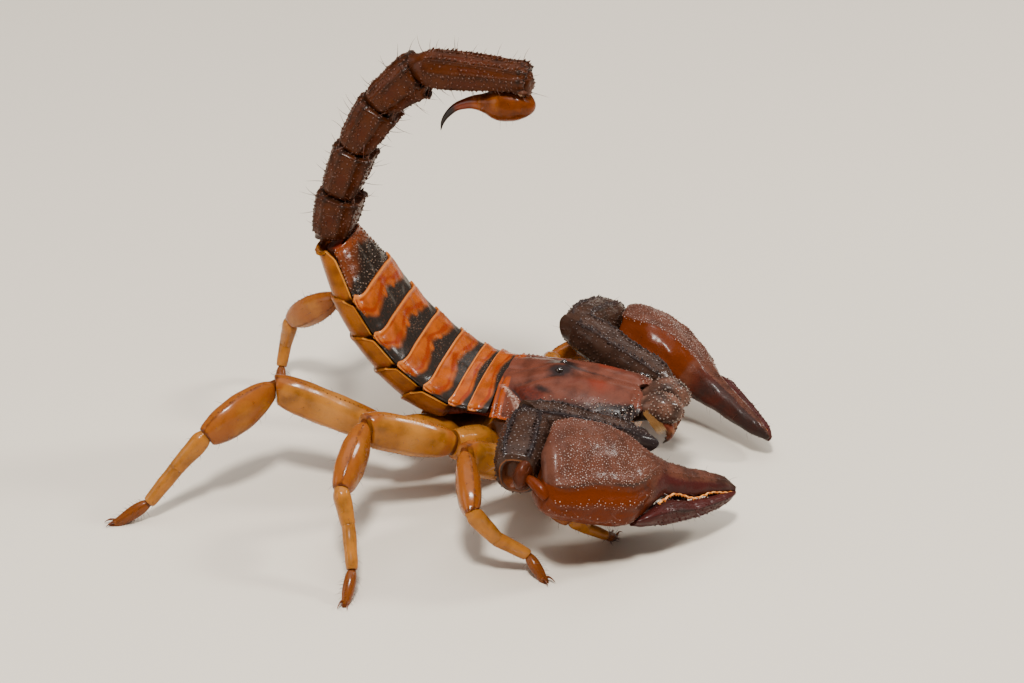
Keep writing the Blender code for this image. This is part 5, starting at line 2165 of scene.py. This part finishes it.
    def moving_finger(self) -> None:
        """Build the moving finger."""
        along = np.concatenate([np.linspace(9.6, 12.5, 26), np.linspace(12.7, 20.5, 44)])
        made = self.loft("moving_finger", self.finger, along, 80, 2.2)
        share, turn = made.read("along"), made.turn()
        body = ease(share, 0.1, 0.3) * (1 - ease(share, 0.9, 1.0))
        lift = 0.13 * swell(turn, 75, 8) * body + 0.10 * swell(turn, 12, 8) * body
        made.swell_by(lift + (0.05 * made.lumps(1.2, 430) + 0.02 * made.lumps(0.5, 431)))
        made.tint(red=0.9, dark=0.25 + 0.4 * swell(turn, 75, 6) + 0.2 * made.lumps(1.6, 432),
                  pale=(1 - ease(share, 0.05, 0.22)) * 0.35)
        cover = (body * (swell(turn, 75, 8) + swell(turn, 12, 8) + 0.22)
                 * (1 - ease(share, 0.8, 0.95)))
        self.kit.grains(made, 0.27, cover.clip(0, 1), 440 + self.side.value, 0.36, 0.42)
        # painted glints: the finger's grains get less of the tip colour
        made.mark("grain", made.read("grain") * 0.45)
        bare = made.bare() * ease(made.read("along"), 0.2, 0.4)
        self.coat.grow("hand_hairs", made, 1.1, bare, 1.2, 0.018, self.along * 0.8,
                       450 + self.side.value)
        made.settle(Finishes.HAND, "moving_finger_" + self.side.word, crease=60)

    def cutting_edges(self) -> None:
        """Lay the wavy toothed edges in the gap between the two fingers."""
        count, teeth = 70, 26
        # The moving finger's edge and its teeth are darkened all over: painted shade for the gap
        # between the fingers, where that edge lies.
        for part, table, lead, low, high, lift, painted_shade in (
                ("fixed", self.palm, 1.0, 11.6, 20.0, 0.62, 0.0),
                ("moving", self.finger, -1.0, 12.2, 20.1, 0.10, 0.9)):
            along, share = np.linspace(low, high, count), np.linspace(0, 1, count)
            angle = np.array([[0.0 if lead > 0 else math.pi]])
            path = self.section(table, along, angle, 2.4)[:, 0]
            wave = 0.24 * np.sin(share * 2 * math.pi * 2.2 + 0.8) * (1 - 0.7 * share)
            wave = wave + 0.04 * np.sin(share * 2 * math.pi * 13)
            path = path + self.outer * (wave - lead * 0.03)[:, None]
            path = path + self.back * (fit(table, along)[:, 2] * self.scale * lift)[:, None]
            girth = 0.100 * (1 - 0.35 * share)
            blade = Limb.through(f"cutting_edge_{part}_{self.side.word}", path, girth, girth, 16,
                                 2.0,
                                 self.back)
            blade.mark("pale", 0.55 + 0.45 * np.sin(blade.read("along") * 70))
            blade.mark("dark", ease(blade.read("along"), 0.90, 1.0) * 0.5 + painted_shade)
            roots = fit(np.column_stack([share, path]), np.linspace(0.02, 0.95, teeth))
            sizes = (0.12 * (1 - 0.5 * np.linspace(0, 1, teeth))
                     * (1 + 0.6 * (np.arange(teeth) % 5 == 2)))
            self.kit.teeth(blade, roots + self.outer * (lead * 0.14), sizes * 0.7, sizes,
                           self.outer * lead, 0.8, pale=0.3, dark=painted_shade)
            blade.settle(Finishes.TEETH)

    def wrist(self) -> None:
        """Build the wrist's tongue and the soft joint in the forearm's hollow end."""
        place = self.points[4] * 0.6 + self.points[3] * 0.4
        turn = Vector(self.face).to_track_quat("Z", "Y").to_matrix().to_4x4()
        share = np.linspace(0, 1, 24)
        way = self.face * 2.3 + self.outer * 1.3
        centres = (place - self.face * 0.75 + self.back * 0.35 + self.outer * 0.35
                   + way * share[:, None] + self.back * (0.30 * np.sin(math.pi * share))[:, None])
        girth = 0.42 * np.sqrt(np.clip(1.03 - (1.7 * share - 1) ** 2, 0, 1)) * (1 + 0.5 * share)
        knob = Limb.through(f"wrist_{self.side.word}_knob", centres, girth, girth, 32, 2.0,
                            self.back)
        knob.swell_by(0.03 * knob.lumps(0.7, 460))
        knob.mark("pale", 0.80).settle(Finishes.HAND)
        soft = Clay.ball(f"wrist_{self.side.word}_skin", place - self.face * 0.35,
                         (1.45, 1.45, 0.75), 40,
                         turn)
        soft.swell_by(0.05 * soft.lumps(0.5, 461))
        soft.mark("red", 0.15).settle(Finishes.SKIN)

    def build(self) -> None:
        """Build the whole arm."""
        self.arm()
        self.hand()
        self.moving_finger()
        self.cutting_edges()
        self.wrist()


# ---- legs ----
@dataclass
class Leg:
    """One walking leg from its hip to its two claws."""

    kit: Kit
    coat: Coat
    side: Side
    number: int
    scale: float
    joints: tuple                 # hip, ring end, knee, shin top, ankle, heel, sole
    sag: float = 1.30
    ring: tuple = ((0.0, 1.00, 1.10), (0.45, 1.10, 1.20), (1.0, 0.92, 1.02))
    thigh: tuple = ((0.0, 0.84, 0.94), (0.22, 0.98, 1.20), (0.60, 1.00, 1.34), (0.90, 0.96, 1.20),
                    (1.0, 0.78, 0.92))
    knee: tuple = ((0.0, 0.50, 0.56), (0.14, 0.76, 0.96), (0.35, 0.98, 1.32), (0.62, 1.05, 1.42),
                   (0.86, 0.88, 1.14), (1.0, 0.62, 0.76))
    shin: tuple = ((0.0, 0.54, 0.64), (0.14, 0.65, 0.77), (0.5, 0.64, 0.73), (1.0, 0.55, 0.62))
    ankle: tuple = ((0.0, 0.55, 0.62), (0.5, 0.53, 0.59), (0.9, 0.47, 0.52), (1.0, 0.42, 0.47))
    toe: tuple = ((0.0, 0.32, 0.36), (0.25, 0.47, 0.53), (0.60, 0.46, 0.50), (1.0, 0.32, 0.34))

    def __post_init__(self) -> None:
        """Work out the joints' planes."""
        self.points = [vec(*point) for point in self.joints]
        bends = zip(self.points, self.points[1:], self.points[2:])
        self.planes = [vec(0, self.side.value, 0), *(bend_plane(*three) for three in bends),
                       vec(0, 0, -1)]

    def stretch(self, part: str, at: int, rows: tuple, sag: float, keeled: bool,
                neck: float) -> Clay:
        """Build one segment of the leg, with its colours and its hairs.

        Args:
            part: The segment's name.
            at: The number of its first joint.
            rows: Its girths.
            sag: How much deeper than high it is.
            keeled: Whether it has keels with small teeth.
            neck: Girth of its narrow root.

        Returns:
            The segment.
        """
        start, end = self.points[at:at + 2]
        way, foot, knee = unit(end - start), part == "toe", part == "knee_shell"
        keels = (Keel(74, 0.07, 7), Keel(-38, 0.06, 8), Keel(-82, 0.07, 8), Keel(218, 0.06, 8))
        keels = keels if keeled else ()
        girths = tuple((share, side * self.scale, high * self.scale, high * self.scale * sag)
                       for share, side, high in rows)
        segment = Segment(start, end, girths, *self.planes[at:at + 2], 2.3, keels,
                          40 if keeled else 28, neck=neck, flare=0.03)
        made = segment.build(f"leg_{self.side.word}_{self.number}_{part}", 1)
        share, turn = made.read("along"), made.turn()
        seed = 500 + 20 * self.number + at + (10 if self.side is Side.LEFT else 0)
        made.swell_by(0.025 * made.lumps(1.1, seed))
        root = (1 - ease(share, 0.01, 0.06)) * (0.8 if keeled or foot else 0.3)
        mesh = ease(np.abs(made.lumps(0.55, 501)), 0.5, 0.1) * knee
        ends = 0.6 if keeled else 0.25
        made.tint(dark=root + swell(share, 0.995, 0.012) * 0.6 + mesh * 0.26
                  + 0.35 * on_keels(keels, turn) * keeled + 0.55 * foot,
                  red=swell(share, 0.10, 0.07) * ends + swell(share, 0.96, 0.05) * ends
                  + (0.55 if keeled else 0.1) * swell(turn, 90, 50) + 0.9 * foot + 0.52 * knee
                  + 0.2 * made.lumps(1.8, 502))
        blend = swell(share, 0.5, 0.3) * 0.52 if keeled else 0.36 + 0.06 * made.lumps(1.5, 503)
        made.mark("pale", blend * (1 - 0.9 * foot) * (0.5 if knee else 1.0))
        if keeled:
            places, sizes = [], []
            draw = np.random.default_rng(seed + 1)
            for angle in (74, -82):
                count = int(np.linalg.norm(end - start) * 0.8 / 0.40)
                for share_at in np.linspace(0.12, 0.92, count):
                    places.append(segment.at(share_at, angle + draw.normal(0, 2)))
                    sizes.append(0.09 * draw.uniform(0.6, 1.3))
            sizes = np.array(sizes)
            self.kit.teeth(made, np.array(places), sizes * 0.8, sizes, way, 0.4, dark=0.8,
                           along=0.5)
        bare = made.bare() * ease(made.read("along"), 0.1, 0.2)
        spacing, length = (0.28, 0.85) if foot else (1.0, 0.9) if keeled else (0.6, 0.7)
        self.coat.grow("leg_hairs_" + self.side.word, made, spacing, bare, length, 0.020, way, seed
                       + 2)
        return made

    def claws(self) -> Clay:
        """Build the two curved claws at the foot's end."""
        heel, sole = self.points[5:]
        way = unit(sole - heel)
        flat = unit(vec(way[0], way[1], 0))
        across = np.cross(vec(0, 0, 1), flat)
        parts = []
        for hand in (-1, 1):
            root = sole - way * 0.35 + across * (0.14 * hand)
            share = np.linspace(0, 1, 12)[:, None]
            path = (root + flat * (1.15 * share) + across * (0.30 * hand * share)
                    + vec(0, 0, 1) * (0.30 * np.sin(share * math.pi) - 0.05 * share))
            path[:, 2] = np.maximum(path[:, 2], 0.10 * (1.2 - share[:, 0]))
            girth = 0.15 * (1 - 0.86 * share[:, 0]) * self.scale
            parts.append(Limb.through("claw", path, girth, girth, 10, 2.0))
        first, *others = parts
        made = first.join(others)
        made.mark("dark", ease(made.read("along"), 0.0, 0.6))
        made.mark("red", 0.7)
        return made

    def build(self) -> None:
        """Build the leg."""
        word = f"leg_{self.side.word}_{self.number}_"
        ring = self.stretch("hip_ring", 0, self.ring, self.sag, False, 0.92)
        thigh = self.stretch("thigh_shell", 1, self.thigh, self.sag, True, 0.80)
        thigh.join([ring]).settle(Finishes.LEG, word + "thigh", crease=60)
        knee = self.stretch("knee_shell", 2, self.knee, self.sag, True, 0.76)
        knee.settle(Finishes.LEG, word + "knee", crease=60)
        shin = self.stretch("foot_shell", 3, self.shin, 1.0, False, 0.92)
        ankle = self.stretch("ankle", 4, self.ankle, 1.0, False, 1.0)
        toe = self.stretch("toe", 5, self.toe, 1.0, False, 0.85)
        shin.join([ankle, toe, self.claws()]).settle(Finishes.LEG, word + "foot", crease=60)


# ---- studio ----
@dataclass(frozen=True)
class FloorFinish(Finish):
    """The studio's plain pale floor."""

    colour: Colour = (0.76, 0.68, 0.57)

    def sockets(self, sheet: NodeSheet) -> dict:
        """Return what each of the shader's sockets gets."""
        shade = sheet.mix(self.colour, shaded(self.colour, 0.96), sheet.noise(40.0, 2.0))
        return {"Base Color": shade, "Roughness": 0.85}


@dataclass
class Studio:
    """Floor, soft lights and the camera, in millimetres of the animal's own frame."""

    turn: float = 16.0            # the camera stands this many degrees towards the head
    lift: float = 28.0            # and looks down by this many degrees
    camera_at: tuple = (68.96, -238.2, 145.43)
    lens: float = 110.0
    # name, place, size in mm, watts, colour
    lamps: tuple = (("key", (40.0, -180.0, 350.0), 60.0, 2.0, (1.0, 0.97, 0.92)),
                    ("window", (250.0, 120.0, 230.0), 60.0, 0.7, (1.0, 0.97, 0.92)),
                    ("sky", (-40.0, 40.0, 520.0), 640.0, 1.9, (0.96, 0.98, 1.0)),
                    ("fill", (-300.0, -160.0, 120.0), 220.0, 0.35, (1.0, 0.96, 0.92)),
                    ("rim", (60.0, 300.0, 240.0), 160.0, 0.15, (1.0, 0.98, 0.95)))
    air: float = 0.12             # the world's own light

    def floor(self) -> None:
        """Lay the floor under the animal."""
        Clay.deselect()
        bpy.ops.mesh.primitive_plane_add(size=6.0)
        made = bpy.context.active_object
        made.name = "studio_floor"
        made.data.materials.append(FloorFinish("studio_floor", "floor").make())

    def lights(self) -> None:
        """Hang the soft lights and set the pale world."""
        for name, place, size, watts, colour in self.lamps:
            lamp = bpy.data.lights.new(name, "AREA")
            lamp.shape = "DISK"
            lamp.size = size * MM
            lamp.energy = watts
            lamp.color = colour
            item = bpy.data.objects.new(name, lamp)
            bpy.context.scene.collection.objects.link(item)
            item.location = Vector(place) * MM
            item.rotation_euler = (-Vector(place)).to_track_quat("-Z", "Y").to_euler()
        world = bpy.data.worlds.new("studio_air")
        world.use_nodes = True
        world.node_tree.nodes["Background"].inputs["Color"].default_value = (0.92, 0.88, 0.82, 1.0)
        world.node_tree.nodes["Background"].inputs["Strength"].default_value = self.air
        bpy.context.scene.world = world

    def camera(self) -> None:
        """Stand the camera off the animal's right side, looking down at it."""
        lens = bpy.data.cameras.new("studio_camera")
        lens.lens = self.lens
        lens.sensor_width = 36.0
        lens.clip_start = 0.01
        lens.clip_end = 20.0
        made = bpy.data.objects.new("studio_camera", lens)
        bpy.context.scene.collection.objects.link(made)
        turn, lift = math.radians(self.turn), math.radians(self.lift)
        back = Vector((math.sin(turn) * math.cos(lift), -math.cos(turn) * math.cos(lift),
                       math.sin(lift)))
        made.location = Vector(self.camera_at) * MM + Clay.shift
        made.rotation_euler = (-back).to_track_quat("-Z", "Y").to_euler()
        bpy.context.scene.camera = made

    def build(self) -> None:
        """Build the studio."""
        self.floor()
        self.lights()
        self.camera()


ARMS = {
    Side.RIGHT: (48.0, ((11.9, -3.9, 7.4), (13.9, -5.3, 8.3), (4.9, -8.9, 11.2), (5.7, -16.2, 9.7),
                        (7.3, -16.2, 10.2), (22.1, -3.4, 3.8))),
    Side.LEFT: (36.0, ((11.9, 3.9, 7.4), (13.9, 5.3, 8.3), (4.2, 9.4, 10.8), (5.5, 17.2, 7.5),
                       (6.7, 18.0, 8.0), (22.7, 8.9, 2.3))),
}
LEGS = {
    (Side.RIGHT, 1): (0.84, ((7.8, -4.35, 5.8), (7.4, -6.4, 5.8), (5.9, -10.6, 6.0),
                             (9.6, -12.2, 3.6),
                             (10.6, -10.8, 2.1), (12.3, -10.3, 1.3), (12.5, -8.3, 0.0))),
    (Side.RIGHT, 2): (1.05, ((4.0, -4.35, 5.6), (2.8, -7.2, 5.4), (0.0, -12.6, 9.0),
                             (2.2, -18.0, 6.5),
                             (4.2, -17.2, 3.7), (6.7, -16.0, 1.8), (8.5, -17.1, 0.0))),
    (Side.RIGHT, 3): (1.14, ((-0.5, -4.35, 5.9), (-2.7, -7.3, 6.7), (-9.2, -12.4, 10.3),
                             (-9.3, -19.0, 7.5), (-8.1, -20.6, 5.0), (-7.0, -23.0, 2.1),
                             (-6.9, -25.4, 0.0))),
    (Side.RIGHT, 4): (1.12, ((-4.9, -4.35, 6.4), (-8.8, -6.7, 6.6), (-19.3, -7.6, 10.2),
                             (-23.9, -13.4, 7.4), (-26.1, -15.2, 4.7), (-28.2, -16.9, 1.8),
                             (-30.9, -18.5, 0.0))),
    (Side.LEFT, 1): (0.80, ((7.8, 4.35, 5.8), (8.0, 6.6, 5.8), (7.1, 11.2, 6.2), (7.9, 15.8, 3.2),
                            (8.9, 18.0, 1.8), (9.9, 19.8, 0.9), (10.9, 21.4, 0.0))),
    (Side.LEFT, 2): (0.95, ((4.0, 4.35, 5.6), (3.3, 7.2, 5.4), (1.2, 11.2, 6.2), (3.6, 17.4, 4.2),
                            (4.4, 19.8, 2.5), (5.2, 21.8, 1.1), (6.0, 23.8, 0.0))),
    (Side.LEFT, 3): (1.08, ((-0.5, 4.35, 5.9), (-2.9, 7.2, 6.2), (-10.2, 10.6, 8.2),
                            (-13.6, 16.4, 6.3),
                            (-14.6, 18.2, 4.1), (-15.6, 20.2, 1.8), (-16.6, 22.6, 0.0))),
    (Side.LEFT, 4): (1.02, ((-4.9, 4.35, 6.2), (-8.8, 7.0, 6.7), (-18.6, 7.9, 11.4),
                            (-24.3, 10.6, 6.9),
                            (-25.3, 11.4, 3.8), (-25.5, 10.6, 1.7), (-25.0, 8.6, 0.0))),
}


def main() -> None:
    """Build the scorpion's looks piece by piece, then the studio."""
    logging.basicConfig(level=logging.INFO, format="%(message)s")
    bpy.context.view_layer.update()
    low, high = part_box("eye_left")
    middle = (low + high) / 2
    Clay.shift = Vector((middle.x - EYE_X * MM, middle.y - EYE_SPREAD * MM, 0.0))
    kit = Kit()
    coat = Coat(kit)
    HeadShield(kit).build()
    Trunk(kit).build()
    Underside(kit).build()
    Tail(kit, coat).build()
    for side, (roll, joints) in ARMS.items():
        Pincer(kit, coat, side, roll, joints).build()
    for (side, number), (scale, joints) in LEGS.items():
        Leg(kit, coat, side, number, scale, joints, 1.30 if side is Side.RIGHT else 0.90).build()
    coat.settle()
    Studio().build()
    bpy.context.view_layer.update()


if __name__ == "__main__":
    main()
